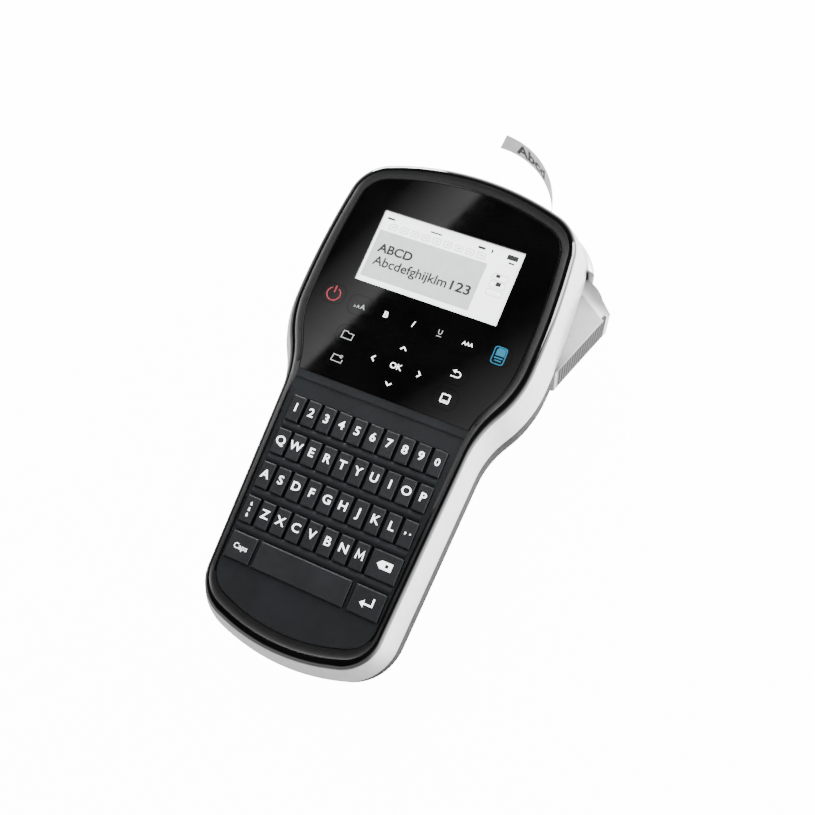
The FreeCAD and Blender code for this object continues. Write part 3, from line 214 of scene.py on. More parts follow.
    def facing_in(self):
        """High where an upright-ish surface faces the middle of the object."""
        place = self.add("ShaderNodeVectorMath", operation="MULTIPLY")
        place.inputs[1].default_value = (1.0, 1.0, 0.0)
        self.link(self.coords, place.inputs[0])
        outward = self.dot(place.outputs["Vector"], self.geometry("Normal"))
        return self.remap(outward, -0.5 * MM, -6.0 * MM)

    def along_y(self, low, high, stops):
        """Grey ramp along the length between two places, given as (share, level) stops."""
        split = self.add("ShaderNodeSeparateXYZ")
        self.link(self.coords, split.inputs[0])
        ramp = self.add("ShaderNodeValToRGB")
        marks = ramp.color_ramp.elements
        while len(marks) < len(stops):
            marks.new(0.5)
        for mark, (share, level) in zip(marks, stops):
            mark.position = share
            mark.color = (level, level, level, 1)
        self.link(self.remap(split.outputs["Y"], low, high), ramp.inputs["Fac"])
        return ramp.outputs["Color"]

    def set(self, **values):
        for key, value in values.items():
            self.bsdf.inputs[key.replace("_", " ")].default_value = value
        return self


def grey(level, tint=0.0):
    return (level * (1 - tint), level, level * (1 + tint))


def piano_black():
    """Gloss black whose inner slope is satin and carries a painted sheen that fades out towards the
    keyboard end.
    """
    s = Shader("piano_black")
    s.edge_wear(grey(0.0018), grey(0.0028), 60.0, grey(0.012))
    inner = s.facing_in()
    both = s.add("ShaderNodeMath", operation="MULTIPLY")
    s.link(inner, both.inputs[0])
    s.link(s.along_y(CAD_BOX[0][1], CAD_BOX[1][1], ((0.12, 0.0), (0.35, 1.0))), both.inputs[1])
    # Painted sheen: a lighter base colour on the inward-facing slope, fading out towards the keyboard end.
    s.over_base(both.outputs["Value"], grey(0.011, 0.02))
    s.roughness(0.045, 0.12, 180.0)
    satin = s.mixed(inner, s.below("Roughness"), 0.5, "FLOAT")
    s.link(satin, s.bsdf.inputs["Roughness"])
    s.link(s.remap(inner, 0.0, 1.0, 0.5, 0.0), s.bsdf.inputs["Coat Weight"])
    s.bump(900.0, 0.04, 0.02 * MM)
    return s.set(Coat_Roughness=0.04, IOR=1.5).mat


def panel_gloss():
    s = Shader("panel_gloss")
    s.colour(grey(0.0010), grey(0.0018), 45.0)
    s.roughness(0.03, 0.075, 140.0)
    s.bump(60.0, 0.015, 0.05 * MM)
    return s.set(IOR=1.52).mat


def key_plastic():
    s = Shader("key_plastic")
    s.edge_wear(grey(0.0085, 0.12), grey(0.0115, 0.12), 120.0, grey(0.03, 0.08))
    s.roughness(0.40, 0.55, 700.0)
    s.bump(5200.0, 0.30, 0.04 * MM)
    return s.set(IOR=1.5).mat


def fascia_plastic():
    s = Shader("fascia_plastic")
    s.colour(grey(0.0065, 0.16), grey(0.0085, 0.16), 90.0)
    s.roughness(0.42, 0.58, 600.0)
    s.bump(4200.0, 0.35, 0.05 * MM)
    return s.set(IOR=1.48).mat


def silver_paint(name):
    s = Shader(name)
    s.edge_wear((0.72, 0.712, 0.715), (0.79, 0.782, 0.785), 500.0, (0.90, 0.90, 0.90))
    s.roughness(0.30, 0.42, 350.0)
    first = s.bump(9000.0, 0.10, 0.03 * MM, kind="cells")
    s.bump(220.0, 0.05, 0.06 * MM, previous=first)
    s.set(Metallic=0.7, Coat_Weight=0.2, Coat_Roughness=0.12)
    return s


def lever_paint_and_painted_shade():
    """Silver paint with painted shade: the fingertip hollow darkens towards both ends."""
    s = silver_paint("lever_paint_and_painted_shade")
    low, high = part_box("lever_grip")
    # Painted shade: the base darkens towards both ends of the grip and just past its top.
    stops = ((0.0, 0.85), (0.25, 0.1), (0.45, 0.0), (0.75, 0.05), (0.93, 0.75))
    s.over_base(s.along_y(low[1], high[1] + 8.0 * MM, stops), (0.20, 0.198, 0.20))
    return s.set(Metallic=0.3).mat


def shell_plastic(name, low, high):
    s = Shader(name)
    s.edge_wear(low, high, 160.0, grey(0.05))
    s.roughness(0.45, 0.62, 500.0)
    first = s.bump(3600.0, 0.45, 0.06 * MM, kind="cells")
    s.bump(700.0, 0.15, 0.06 * MM, previous=first)
    return s.set(IOR=1.46, Specular_IOR_Level=0.12).mat


def soft_rubber(name, low, high):
    s = Shader(name)
    s.colour(low, high, 260.0)
    s.roughness(0.62, 0.8, 900.0)
    s.bump(4000.0, 0.5, 0.06 * MM)
    return s.set(IOR=1.42).mat


def metal(name, colour, stretch=(1, 1, 30), rough=(0.22, 0.38)):
    s = Shader(name)
    s.colour(tuple(c * 0.85 for c in colour), colour, 400.0)
    s.roughness(rough[0], rough[1], 600.0, stretch)
    s.bump(1500.0, 0.15, 0.04 * MM, stretch=stretch)
    return s.set(Metallic=1.0).mat


def moulded(name, low, high, rough=(0.35, 0.5), grain=2600.0):
    s = Shader(name)
    s.colour(low, high, 140.0)
    s.roughness(rough[0], rough[1], 500.0)
    s.bump(grain, 0.2, 0.05 * MM)
    return s.set(IOR=1.48).mat


def tape_film():
    s = Shader("tape_film")
    s.colour((0.80, 0.80, 0.79), (0.86, 0.86, 0.85), 120.0)
    s.roughness(0.32, 0.5, 300.0)
    s.bump(1800.0, 0.12, 0.03 * MM)
    return s.set(Subsurface_Weight=0.15, Subsurface_Radius=(MM, MM, MM)).mat


def display_face():
    s = Shader("display_face")
    s.colour((0.80, 0.83, 0.82), (0.86, 0.88, 0.87), 80.0)
    s.roughness(0.16, 0.26, 300.0)
    s.bump(3000.0, 0.06, 0.02 * MM)
    # The emission is painted light, a glow that makes the screen brighter than the lamps light it.
    return s.set(Emission_Color=(0.9, 0.93, 0.92, 1), Emission_Strength=1.6).mat


def display_tint():
    s = Shader("display_tint")
    s.colour((0.42, 0.44, 0.435), (0.47, 0.49, 0.485), 300.0)
    s.roughness(0.18, 0.28, 300.0)
    s.bump(3000.0, 0.06, 0.02 * MM)
    # The emission is painted light, a glow that makes the field brighter than the lamps light it.
    return s.set(Emission_Color=(0.5, 0.52, 0.515, 1), Emission_Strength=0.5).mat


def ink(name, low, high, glow=0.0):
    s = Shader(name)
    s.colour(low, high, 2200.0)
    s.roughness(0.35, 0.5, 1500.0)
    s.bump(6000.0, 0.15, 0.02 * MM)
    # The glow is painted light: emission that makes the print brighter than the lamps light it.
    if glow:
        s.set(Emission_Color=high + (1,), Emission_Strength=glow)
    return s.mat


def board_mask():
    s = Shader("board_mask")
    s.colour((0.006, 0.05, 0.02), (0.012, 0.085, 0.035), 700.0)
    s.roughness(0.25, 0.4, 900.0)
    s.bump(1200.0, 0.4, 0.03 * MM, kind="cells")
    return s.mat


def dress_nodes():
    """Give every carried-over CAD node its procedural finish."""
    dark = moulded("cassette_plastic", grey(0.02), grey(0.03))
    steel = metal("steel", (0.62, 0.62, 0.64))
    gear = moulded("gear_plastic", (0.70, 0.69, 0.64), (0.78, 0.77, 0.73))
    grey_shell = shell_plastic("shell_plastic", grey(0.015), grey(0.020))
    film = tape_film()
    finishes = {
        "front_bezel": piano_black(),
        "display_panel": panel_gloss(),
        "keyboard_fascia": fascia_plastic(),
        "silver_band": silver_paint("silver_paint").mat,
        "cutter_lever": lever_paint_and_painted_shade(),
        "rear_shell": grey_shell,
        "cassette_cover": shell_plastic("hatch_plastic", grey(0.018), grey(0.023)),
        "battery_cover": grey_shell,
        "lever_grip": soft_rubber("lever_pad", (0.098, 0.093, 0.093), (0.118, 0.112, 0.112)),
        "keymat": soft_rubber("keymat_rubber", grey(0.05), grey(0.07)),
        "platen_roller": soft_rubber("platen_rubber", grey(0.02), grey(0.03)),
        "lcd_module": display_face(),
        "main_board": board_mask(),
        "board_components": moulded("chip_epoxy", grey(0.012), grey(0.02)),
        "case_screws": steel,
        "usb_socket": steel,
        "drive_motor": metal("motor_can", (0.55, 0.56, 0.58), (30, 30, 1)),
        "print_head": metal("head_alloy", (0.70, 0.70, 0.72), (1, 1, 12)),
        "cutter_pin": steel,
        "cutter_blade": metal("blade_steel", (0.72, 0.73, 0.75), (1, 1, 40), (0.12, 0.25)),
        "hatch_pins": steel,
        "battery_pack": moulded("battery_wrap", (0.02, 0.05, 0.14), (0.03, 0.07, 0.18), (0.3, 0.42)),
        "mechanism_frame": moulded("frame_plastic", grey(0.05), grey(0.07)),
        "blade_carriage": moulded("carriage_plastic", grey(0.10), grey(0.13)),
        "cassette_body": dark,
        "tape_web": film,
        "label_tape": film,
        "tape_roll": moulded("tape_winding", (0.72, 0.72, 0.71), (0.8, 0.8, 0.79), grain=9000.0),
        "ribbon_supply_spool": dark,
        "ribbon_takeup_spool": dark,
    }
    for node in ("motor_pinion", "lower_idler", "upper_idler", "platen_gear", "takeup_spindle"):
        finishes[node] = gear
    raised = key_plastic()
    for node in list(RAISED_ROWS) + ["backspace_key", "caps_key", "space_key", "enter_key"]:
        finishes[node] = raised
    for name, node in NODES.items():
        finish = finishes.get(name, finishes["display_panel"])
        node.data.materials.clear()
        node.data.materials.append(finish)


def soft_shading(names, sharpest):
    """Smooth shading over the gentle edges of moulded nodes, keeping the sharp ones."""
    tree = bpy.data.node_groups.new("soft_shading", "GeometryNodeTree")
    for way in ("INPUT", "OUTPUT"):
        tree.interface.new_socket("Geometry", in_out=way, socket_type="NodeSocketGeometry")
    enter = tree.nodes.new("NodeGroupInput")
    leave = tree.nodes.new("NodeGroupOutput")
    weld = tree.nodes.new("GeometryNodeMergeByDistance")
    weld.inputs["Distance"].default_value = 0.001 * MM
    faces = tree.nodes.new("GeometryNodeSetShadeSmooth")
    edges = tree.nodes.new("GeometryNodeSetShadeSmooth")
    edges.domain = "EDGE"
    angle = tree.nodes.new("GeometryNodeInputMeshEdgeAngle")
    gentle = tree.nodes.new("FunctionNodeCompare")
    gentle.operation = "LESS_THAN"
    gentle.inputs["B"].default_value = math.radians(sharpest)
    tree.links.new(enter.outputs[0], weld.inputs["Geometry"])
    tree.links.new(weld.outputs["Geometry"], faces.inputs["Geometry"])
    tree.links.new(faces.outputs["Geometry"], edges.inputs["Geometry"])
    tree.links.new(angle.outputs["Unsigned Angle"], gentle.inputs["A"])
    tree.links.new(gentle.outputs["Result"], edges.inputs["Shade Smooth"])
    tree.links.new(edges.outputs["Geometry"], leave.inputs[0])
    for name in names:
        NODES[name].modifiers.new("soft", "NODES").node_group = tree
        weighted = NODES[name].modifiers.new("weighted", "WEIGHTED_NORMAL")
        weighted.keep_sharp = True


# ---------------------------------------------------------------- flat printed shapes


def from_faces(name, body, faces, level, mat, thick=PRINT):
    """Closed thin slab made from flat faces (lists of x, y in metres) lifted to a level."""
    verts = []
    polys = []
    index = {}

    def vertex(point):
        key = (round(point[0], 7), round(point[1], 7))
        if key not in index:
            index[key] = len(verts)
            verts.append((point[0], point[1], level))
        return index[key]

    for face in faces:
        loop = [vertex(p) for p in face]
        area = sum(a[0] * b[1] - b[0] * a[1] for a, b in zip(face, face[1:] + face[:1]))
        polys.append(loop if area > 0 else loop[::-1])
    count = len(verts)
    edges = {}
    for loop in polys:
        for a, b in zip(loop, loop[1:] + loop[:1]):
            edges[(a, b)] = True
    verts += [(x, y, z + thick) for x, y, z in verts]
    top = [[i + count for i in loop] for loop in polys]
    bottom = [loop[::-1] for loop in polys]
    sides = [[a, b, b + count, a + count] for a, b in edges if (b, a) not in edges]
    mesh = bpy.data.meshes.new(name)
    mesh.from_pydata(verts, [], top + bottom + sides)
    mesh.update()
    return finish_piece(name, body, mesh, mat)


def finish_piece(name, body, mesh, mat):
    """Put a mesh in the scene as a piece of the object."""
    piece = bpy.data.objects.new(name, mesh)
    bpy.context.scene.collection.objects.link(piece)
    mesh.materials.append(mat)
    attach(piece, body)
    return piece


def ribbon(points, width, closed=False):
    """Quads along a line of points, with mitred joints."""
    count = len(points)
    left = []
    right = []
    for i, (x, y) in enumerate(points):
        before = points[i - 1] if (i or closed) else points[i]
        after = points[(i + 1) % count] if (i < count - 1 or closed) else points[i]
        into = Vector((x - before[0], y - before[1]))
        out = Vector((after[0] - x, after[1] - y))
        into = into.normalized() if into.length > 0 else out.normalized()
        out = out.normalized() if out.length > 0 else into
        normal = Vector((-into.y - out.y, into.x + out.x)).normalized()
        reach = width / 2 / max(0.5, normal.dot(Vector((-into.y, into.x))))
        left.append((x + normal.x * reach, y + normal.y * reach))
        right.append((x - normal.x * reach, y - normal.y * reach))
    last = count if closed else count - 1
    return [[left[i], right[i], right[(i + 1) % count], left[(i + 1) % count]] for i in range(last)]


def sweep(cx, cy, radius, start, finish, steps=18):
    """Points along an arc, angles in degrees."""
    return [
        (cx + radius * math.cos(math.radians(start + (finish - start) * i / steps)),
         cy + radius * math.sin(math.radians(start + (finish - start) * i / steps)))
        for i in range(steps + 1)
    ]


def rounded(x_low, y_low, x_high, y_high, corner):
    """Closed rounded rectangle as points."""
    points = []
    for cx, cy, start in (
        (x_high - corner, y_low + corner, -90), (x_high - corner, y_high - corner, 0),
        (x_low + corner, y_high - corner, 90), (x_low + corner, y_low + corner, 180),
    ):
        points += sweep(cx, cy, corner, start, start + 90, 5)
    return points


def placed(faces, x, y):
    """Faces given in millimetres about a centre, moved to a place in metres."""
    return [[(x + p[0] * MM, y + p[1] * MM) for p in face] for face in faces]


def text_mesh(text, height, bold=0.0, slant=0.0):
    """Mesh of a line of text on the baseline, centred left to right; height is that of its capitals."""
    curve = bpy.data.curves.new("legend", "FONT")
    curve.body = text
    curve.align_x = "CENTER"
    curve.size = height / CAPITAL_SHARE
    curve.offset = bold * height
    curve.shear = slant
    curve.resolution_u = 4
    curve.extrude = PRINT / 2
    holder = bpy.data.objects.new("legend", curve)
    bpy.context.scene.collection.objects.link(holder)
    bpy.context.view_layer.update()
    mesh = bpy.data.meshes.new_from_object(holder.evaluated_get(bpy.context.evaluated_depsgraph_get()))
    bpy.data.objects.remove(holder)
    bpy.data.curves.remove(curve)
    return mesh


def joined(name, meshes):
    """One mesh from several, each with its own move."""
    verts = []
    faces = []
    for mesh, move in meshes:
        start = len(verts)
        verts += [move @ v.co for v in mesh.vertices]
        faces += [[start + i for i in p.vertices] for p in mesh.polygons]
    result = bpy.data.meshes.new(name)
    result.from_pydata([tuple(v) for v in verts], [], faces)
    result.update()
    return result


def centre_top(node):
    """Centre and highest level of a CAD node."""
    low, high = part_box(node)
    return (low[0] + high[0]) / 2, (low[1] + high[1]) / 2, high[2]


def at(x, y, level, lift):
    """Move that puts the middle of a print's thickness above a surface."""
    return Matrix.Translation((x, y, level + lift + PRINT / 2))


def stamped(name, key, faces, lift, mat):
    """Print drawn with flat faces, in millimetres about the key's centre."""
    x, y, z = centre_top(key)
    return from_faces(name, key + "_body", placed(faces, x, y), z + lift, mat)


def written(name, body, parts, mat):
    """Print made of lines of text, each with its own move."""
    return finish_piece(name, body, joined(name, parts), mat)


# ---------------------------------------------------------------- key legends


def row_legends(white):
    """One printed legend on each key of each row; the M is drawn with strokes."""
    height = 3.3 * MM
    for node, letters in RAISED_ROWS.items():
        low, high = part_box(node)
        pitch = (high[0] - low[0]) / len(letters)
        y = (low[1] + high[1]) / 2
        parts = []
        for i, letter in enumerate(letters):
            x = low[0] + pitch * (i + 0.5)
            if letter == ",":
                parts.append((text_mesh(", .", 2.6 * MM, 0.03), at(x, y, high[2], RAISED_LIFT)))
            elif letter not in " M":
                tall = height * (0.82 if letter == "0" else 1.0)
                move = at(x, y - tall / 2 + 0.5 * MM, high[2], RAISED_LIFT)
                parts.append((text_mesh(letter, tall, 0.020), move @ Matrix.Scale(1.04, 4, (1, 0, 0))))
        written(node + ".legend", node + "_body", parts, white)
    low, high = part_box("bottom_letter_keys")
    y = (low[1] + high[1]) / 2
    strokes = ribbon([(-1.35, -1.15), (-1.1, 2.15), (0.0, -0.2), (1.1, 2.15), (1.35, -1.15)], 0.56)
    last_key = high[0] - (high[0] - low[0]) / len(RAISED_ROWS["bottom_letter_keys"]) / 2
    from_faces("letter_m.legend", "bottom_letter_keys_body", placed(strokes, last_key, y),
               high[2] + RAISED_LIFT, white)
    first_key = low[0] + 3.25 * MM
    accents = [
        (text_mesh(mark, 1.35 * MM, 0.03), at(first_key, y + rise * MM, high[2], RAISED_LIFT))
        for mark, rise in (("á", 1.6), ("ä", -0.6), ("ê", -2.8))
    ]
    written("accent.legend", "bottom_letter_keys_body", accents, white)


def wide_key_legends(white):
    """Legends of the backspace, enter and caps keys."""
    tip, top_left, top_right, low_right, low_left = (
        (-3.0, 0.4), (-1.4, 1.9), (2.9, 1.9), (2.9, -1.1), (-1.4, -1.1),
    )
    left, right, foot, head = 0.28, 1.52, -0.22, 1.02
    square = [(left, foot), (right, foot), (right, head), (left, head)]
    arrow = [
        [tip, low_left, square[0], square[3], top_left],
        [top_left, square[3], square[2], top_right],
        [top_right, square[2], square[1], low_right],
        [low_right, square[1], square[0], low_left],
    ]
    stamped("backspace.legend", "backspace_key", arrow, RAISED_LIFT, white)
    stem = ribbon([(2.2, 2.2), (2.2, -0.6), (-1.2, -0.6)], 0.62)
    head = [[(-2.6, -0.6), (-0.9, -2.0), (-0.9, 0.8)]]
    stamped("enter.legend", "enter_key", stem + head, RAISED_LIFT, white)
    x, y, z = centre_top("caps_key")
    word = (text_mesh("Caps", 2.0 * MM), at(x, y - 0.9 * MM, z, RAISED_LIFT))
    written("caps.legend", "caps_key_body", [word], white)


def soft_icons():
    """Icon faces, in millimetres about the key centre, for the keys drawn with strokes."""
    chevron = [(-1.5, -0.7), (0.0, 0.75), (1.5, -0.7)]

    def turned(points, degrees):
        c = math.cos(math.radians(degrees))
        s = math.sin(math.radians(degrees))
        return [(x * c - y * s, x * s + y * c) for x, y in points]

    folder = [(-2.9, -1.9), (2.6, -1.9), (2.9, 1.2), (0.2, 1.2), (-0.4, 1.9), (-2.6, 1.9)]
    open_frame = ribbon([(0.6, 1.6), (-2.6, 1.6), (-2.9, -1.7), (2.6, -1.7), (2.8, 0.0)], 0.42)
    cog = ribbon(sweep(1.6, 1.4, 0.62, 0, 330, 14), 0.5)
    turn_back = [(-2.3, -1.4), (0.9, -1.4)] + sweep(0.9, 0.0, 1.4, -90, 90, 12)[1:] + [(-0.4, 1.4)]
    arrow_head = [[(-2.0, 1.4), (-0.4, 0.3), (-0.4, 2.5)]]
    disk = ribbon(rounded(-2.0, -2.0, 2.0, 2.0, 0.35), 0.62, True)
    return {
        "up_key": ribbon(chevron, 0.62),
        "down_key": ribbon(turned(chevron, 180), 0.62),
        "left_key": ribbon(turned(chevron, 90), 0.62),
        "right_key": ribbon(turned(chevron, -90), 0.62),
        "file_key": ribbon(folder, 0.42, True),
        "settings_key": open_frame + cog,
        "back_key": ribbon(turn_back, 0.5) + arrow_head,
        "save_key": disk + ribbon([(-1.2, -1.1), (1.2, -1.1)], 0.5),
    }


def panel_legends(white, dim, red, blue):
    """Legends of the keys in the gloss panel."""
    for node, faces in soft_icons().items():
        shrunk = [[(x * 0.78, y * 0.78) for x, y in face] for face in faces]
        ink_used = dim if node in ("file_key", "settings_key") else white
        stamped(node + ".icon", node, shrunk, PANEL_LIFT, ink_used)
    ring = ribbon(sweep(0, -0.2, 2.75, 118, 422, 40), 0.55)
    bar = ribbon([(0, 0.4), (0, 3.4)], 0.6)
    stamped("power.icon", "power_key", ring + bar, PANEL_LIFT, red)
    outline = ribbon(rounded(-2.4, -3.5, 2.4, 3.3, 1.1), 0.42, True)
    sheet = [[(-1.5, -0.2), (2.0, -0.2), (2.0, 2.9), (-0.9, 2.9), (-1.5, 2.0)]]
    feed = ribbon([(-1.6, -1.1), (1.7, -1.1)], 0.55) + ribbon([(-1.2, -2.2), (1.4, -2.2)], 0.5)
    stamped("print.icon", "print_key", outline + sheet + feed, PANEL_LIFT, blue)
    for node, word, height, bold, slant, lift, ink_used in (
        ("bold_key", "B", 2.5, 0.026, 0.0, 0.0, white),
        ("italic_key", "I", 2.5, 0.014, 0.25, 0.0, white),
        ("underline_key", "U", 1.9, 0.008, 0.0, 0.5, dim),
        ("ok_key", "OK", 2.3, 0.018, 0.0, 0.0, white),
        ("effects_key", "AAA", 1.5, 0.018, 0.0, 0.0, white),
    ):
        x, y, z = centre_top(node)
        move = at(x, y + (lift - height / 2) * MM, z, PANEL_LIFT)
        line = text_mesh(word, height * MM, bold, slant)
        written(node + ".word", node + "_body", [(line, move)], ink_used)
    stamped("underline.bar", "underline_key", ribbon([(-1.0, -1.3), (1.0, -1.3)], 0.3), PANEL_LIFT, dim)
    x, y, z = centre_top("size_key")
    letters = [
        (text_mesh("A", height * MM, 0.02), at(x + shift * MM, y - 1.3 * MM, z, PANEL_LIFT))
        for height, shift in ((0.9, -1.9), (1.3, -0.5), (2.0, 1.4))
    ]
    written("size_key.word", "size_key_body", letters, dim)


# ---------------------------------------------------------------- display and label


def fitted(text, left, right, base, height, bold, level):
    """Line of text stretched to lie between two places on a baseline."""
    mesh = text_mesh(text, height, bold)
    spots = [v.co.x for v in mesh.vertices]
    stretch = (right - left) / (max(spots) - min(spots))
    shift = Matrix.Translation((left - min(spots) * stretch, base, level))
    return mesh, shift @ Matrix.Scale(stretch, 4, (1, 0, 0))


def display_content(dark, faint_ink, tint):
    """Fields, marks and sample text on the display."""
    x, y, z = centre_top("lcd_module")
    z += PANEL_LIFT
    field = [[(-28.6, -13.4), (17.2, -13.4), (17.2, 7.3), (-28.6, 7.3)]]
    from_faces("display.field", "case", placed(field, x, y), z, tint, PRINT / 2)
    marks = []
    for left, right, level, deep in (
        (-27.8, -24.6, 12.9, 0.8), (-9.0, -4.2, 12.8, 0.6), (11.2, 14.2, 12.9, 1.0),
        (16.8, 17.4, 12.7, 1.6), (23.4, 27.8, 12.6, 2.1), (24.8, 27.2, 10.2, 0.7),
        (22.2, 23.9, 3.7, 1.3), (23.3, 25.3, 0.5, 1.7),
    ):
        marks += ribbon([(left, level), (right, level)], deep)
    from_faces("display.marks", "case", placed(marks, x, y), z, dark)
    faint = []
    for i in range(9):
        left = -25.5 + 4.7 * i
        faint += ribbon(rounded(left, 8.5, left + 3.1, 10.9, 0.5), 0.32, True)
        faint += ribbon([(left + 0.8, 9.7), (left + 2.3, 9.7)], 0.5)
    for foot in (2.0, -1.2, -4.6):
        faint += ribbon(rounded(20.8, foot, 27.2, foot + 2.6, 0.8), 0.28, True)
    from_faces("display.frames", "case", placed(faint, x, y), z, faint_ink)
    lines = [
        fitted(text, x + left * MM, x + right * MM, y + base * MM, height * MM, bold, z + DISPLAY_TEXT_LIFT)
        for text, left, right, base, height, bold in (
            ("ABCD", -26.3, -11.6, -1.7, 3.6, 0.045),
            ("Abcdefghijklm", -26.0, 5.4, -7.5, 3.9, 0.024),
            ("123", 7.0, 15.2, -7.5, 3.9, 0.036),
        )
    ]
    written("display.text", "case", lines, dark)


def label_print(black):
    """Print on the inner face of the curled label."""
    low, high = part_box("label_tape")
    hub_x = high[0] - TAPE_THICK / 2 - CURL_RADIUS
    inner = CURL_RADIUS - TAPE_THICK / 2 - PRINT
    middle = (low[2] + high[2]) / 2

    def wrap(along, across, lift):
        angle = along / CURL_RADIUS
        radius = inner - lift
        x = hub_x + radius * math.cos(angle)
        return (x, CURL_HUB_Y + radius * math.sin(angle), middle + across)

    capitals = 7.0 * MM
    narrowed = 0.92
    word = text_mesh("Abcd", capitals, 0.05)
    centre = math.radians(CURL_DEGREES) * CURL_RADIUS - 17.0 * MM
    verts = [wrap(centre - v.co.x * narrowed, v.co.y - capitals / 2, v.co.z) for v in word.vertices]
    mesh = bpy.data.meshes.new("label.word")
    mesh.from_pydata(verts, [], [list(p.vertices) for p in word.polygons])
    mesh.update()
    finish_piece("label.word", "label", mesh, black)


# ---------------------------------------------------------------- studio


def staged(name, corners, level, mat):
    """Flat sheet that isn't part of the object."""
    mesh = bpy.data.meshes.new(name)
    mesh.from_pydata([(x, y, level) for x, y in corners], [], [list(range(len(corners)))])
    mesh.materials.append(mat)
    sheet = bpy.data.objects.new(name, mesh)
    bpy.context.scene.collection.objects.link(sheet)
    return sheet


def pale_floor():
    """Floor that is white to the camera, clear from below, and glows most towards -X and -Y."""
    s = Shader("floor")
    s.colour((0.28, 0.28, 0.28), (0.30, 0.30, 0.30), 3.0)
    s.set(Roughness=0.9, Emission_Color=(1, 1, 1, 1))
    towards = s.dot(s.geometry("Incoming"), (-0.55, -0.83, 0.0))
    glow = s.remap(towards, -0.12, 0.36, 0.25, 3.8)
    camera_ray = s.add("ShaderNodeLightPath").outputs["Is Camera Ray"]
    s.link(s.mixed(camera_ray, glow, 14.0, "FLOAT"), s.bsdf.inputs["Emission Strength"])
    seen = s.add("ShaderNodeMixShader")
    s.link(s.geometry("Backfacing"), seen.inputs[0])
    s.link(s.bsdf.outputs["BSDF"], seen.inputs[1])
    s.link(s.add("ShaderNodeBsdfTransparent").outputs["BSDF"], seen.inputs[2])
    s.surface(seen.outputs["Shader"])
    reach = 6.0
    staged("floor", ((-reach, -reach), (reach, -reach), (reach, reach), (-reach, reach)), 0.0, s.mat)


def soft_world():
    """White backdrop to the camera, even light, and reflections that darken upwards."""
    world = bpy.data.worlds.new("studio")
    bpy.context.scene.world = world
    world.use_nodes = True
    tree = world.node_tree
    background = tree.nodes["Background"]
    coords = tree.nodes.new("ShaderNodeTexCoord")
    split = tree.nodes.new("ShaderNodeSeparateXYZ")
    ramp = tree.nodes.new("ShaderNodeValToRGB")
    path = tree.nodes.new("ShaderNodeLightPath")
    ramp.color_ramp.elements[0].position = 0.22
    ramp.color_ramp.elements[0].color = (1.0, 1.0, 1.0, 1)
    ramp.color_ramp.elements[1].position = 0.5
    ramp.color_ramp.elements[1].color = (0.002, 0.002, 0.002, 1)
    tree.links.new(coords.outputs["Generated"], split.inputs[0])
    tree.links.new(split.outputs["Z"], ramp.inputs["Fac"])
    first, second, result = MIX_SOCKETS["RGBA"]
    lit = tree.nodes.new("ShaderNodeMix")
    lit.data_type = "RGBA"
    tree.links.new(path.outputs["Is Glossy Ray"], lit.inputs[0])
    lit.inputs[first].default_value = (0.6, 0.6, 0.6, 1)
    tree.links.new(ramp.outputs["Color"], lit.inputs[second])
    backdrop = tree.nodes.new("ShaderNodeMix")
    backdrop.data_type = "RGBA"
    tree.links.new(path.outputs["Is Camera Ray"], backdrop.inputs[0])
    tree.links.new(lit.outputs[result], backdrop.inputs[first])
    backdrop.inputs[second].default_value = (8.0, 8.0, 8.0, 1)
    tree.links.new(backdrop.outputs[result], background.inputs["Color"])
    background.inputs["Strength"].default_value = 1.7


def lamps():
    """Three soft lamps aimed just above the origin; the key lamp isn't seen in reflections."""
    aim = Vector((0.0, 0.0, 20.0 * MM))
    for name, place, size, power, glossy in (
        ("key", (-0.45, 0.35, 0.75), 0.7, 14.0, False),
        ("fill", (0.62, 0.48, 0.28), 0.45, 16.0, True),
        ("rim", (-0.42, 0.72, 0.13), 0.32, 14.0, True),
    ):
        data = bpy.data.lights.new(name, "AREA")
        data.size = size
        data.energy = power
        lamp = bpy.data.objects.new(name, data)
        lamp.location = place
        lamp.rotation_euler = (aim - Vector(place)).to_track_quat("-Z", "Y").to_euler()
        lamp.visible_glossy = glossy
        bpy.context.scene.collection.objects.link(lamp)


def reflection_card(name, corners, level, strength, fade_from, fade_to):
    """Glowing card seen only in reflections, brightest at one point's line and dark at the other's."""
    s = Shader(name)
    along = fade_to - fade_from
    start = fade_from.dot(along)
    place = s.dot(s.coords, (along.x, along.y, 0.0))
    glow = s.add("ShaderNodeEmission")
    s.link(s.remap(place, start, start + along.length_squared, strength, 0.0), glow.inputs["Strength"])
    s.surface(glow.outputs["Emission"])
    card = staged(name, corners, level, s.mat)
    card.visible_camera = False
    card.visible_diffuse = False
    card.visible_shadow = False
    card.visible_transmission = False


def mirror_spot(x, y, level):
    """Where a card at a level must glow to be seen in the gloss panel at x, y (millimetres)."""
    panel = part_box("display_panel")[1][2]
    rise = (level - panel) / (EYE.z - panel)
    return Vector((x * MM + (x * MM - EYE.x) * rise, y * MM + (y * MM - EYE.y) * rise))


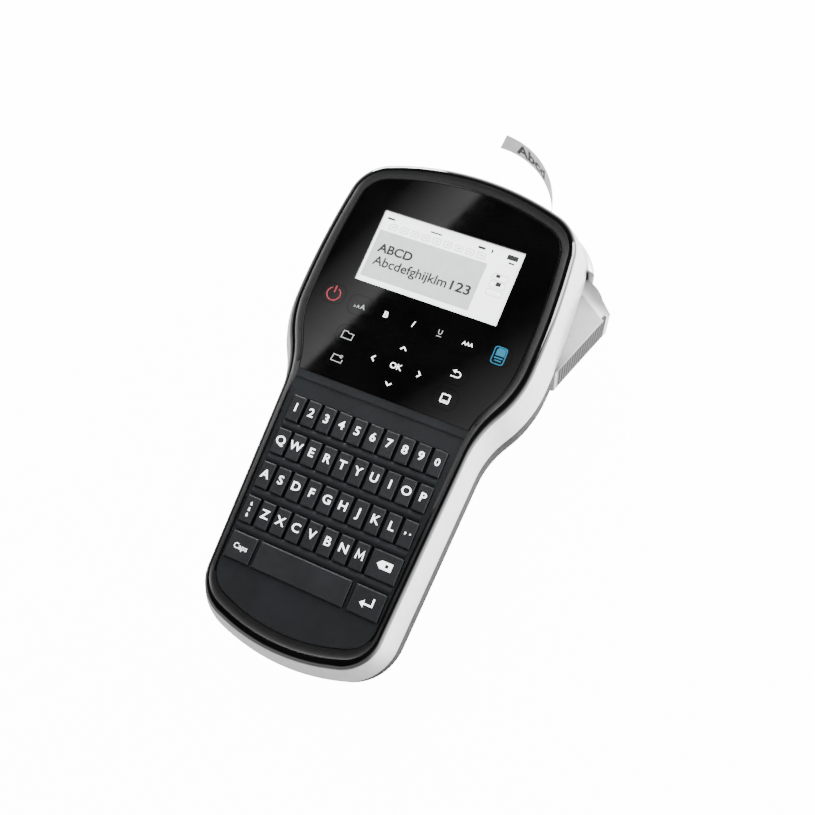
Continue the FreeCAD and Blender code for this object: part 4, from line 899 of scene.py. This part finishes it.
def camera():
    """Camera at the viewing angle of the reference."""
    data = bpy.data.cameras.new("camera")
    data.sensor_width = 36.0
    data.lens = LENS
    data.clip_start = 10.0 * MM
    holder = bpy.data.objects.new("camera", data)
    holder.location = EYE
    holder.rotation_euler = [math.radians(angle) for angle in EYE_TURN]
    bpy.context.scene.collection.objects.link(holder)
    bpy.context.scene.camera = holder


def glare():
    """The cut-off glare across the gloss panel and the soft one in its lower right corner."""
    level = 0.654
    top = mirror_spot(3.0, 63.5, level)
    foot = mirror_spot(-33.0, -25.5, level)
    run = (top - foot).normalized()
    left = Vector((-run.y, run.x))
    start = foot - run * 0.10
    finish = top + run * 0.12
    wide = left * 0.22
    corners = [start, finish, finish + wide, start + wide]
    reflection_card("glare_card", corners, level, 2.0, start, start + left * 0.08)
    low = mirror_spot(46.0, -26.0, level)
    high = mirror_spot(20.0, -6.0, level)
    side = (high - low).normalized()
    across = Vector((-side.y, side.x)) * 0.2
    far = low - side * 0.03
    corners = [far - across, far + across, high + across, high - across]
    reflection_card("corner_card", corners, level, 1.3, low, high)


MOULDED_CASE = (
    "silver_band", "rear_shell", "cassette_cover", "battery_cover", "front_bezel", "cutter_lever",
)
# The glow given to the legend inks and the faint display ink is painted light, making the print brighter
# than the lamps light it.
WHITE = ink("legend_white", (0.84, 0.85, 0.86), (0.90, 0.91, 0.92), 1.6)
DIM = ink("legend_dim", (0.28, 0.29, 0.30), (0.36, 0.37, 0.38), 0.25)
RED = ink("legend_red", (0.20, 0.006, 0.018), (0.25, 0.009, 0.024), 0.15)
BLUE = ink("legend_blue", (0.0, 0.085, 0.16), (0.0, 0.12, 0.21), 0.2)
DISPLAY_DARK = ink("display_ink", (0.016, 0.017, 0.017), (0.024, 0.025, 0.025))
DISPLAY_FAINT = ink("display_faint", (0.50, 0.515, 0.51), (0.58, 0.59, 0.585), 0.3)
LABEL_BLACK = ink("label_ink", (0.004, 0.004, 0.004), (0.008, 0.008, 0.008))

dress_nodes()
soft_shading(MOULDED_CASE, 24.0)
row_legends(WHITE)
wide_key_legends(WHITE)
panel_legends(WHITE, DIM, RED, BLUE)
display_content(DISPLAY_DARK, DISPLAY_FAINT, display_tint())
label_print(LABEL_BLACK)
pale_floor()
soft_world()
lamps()
glare()
camera()
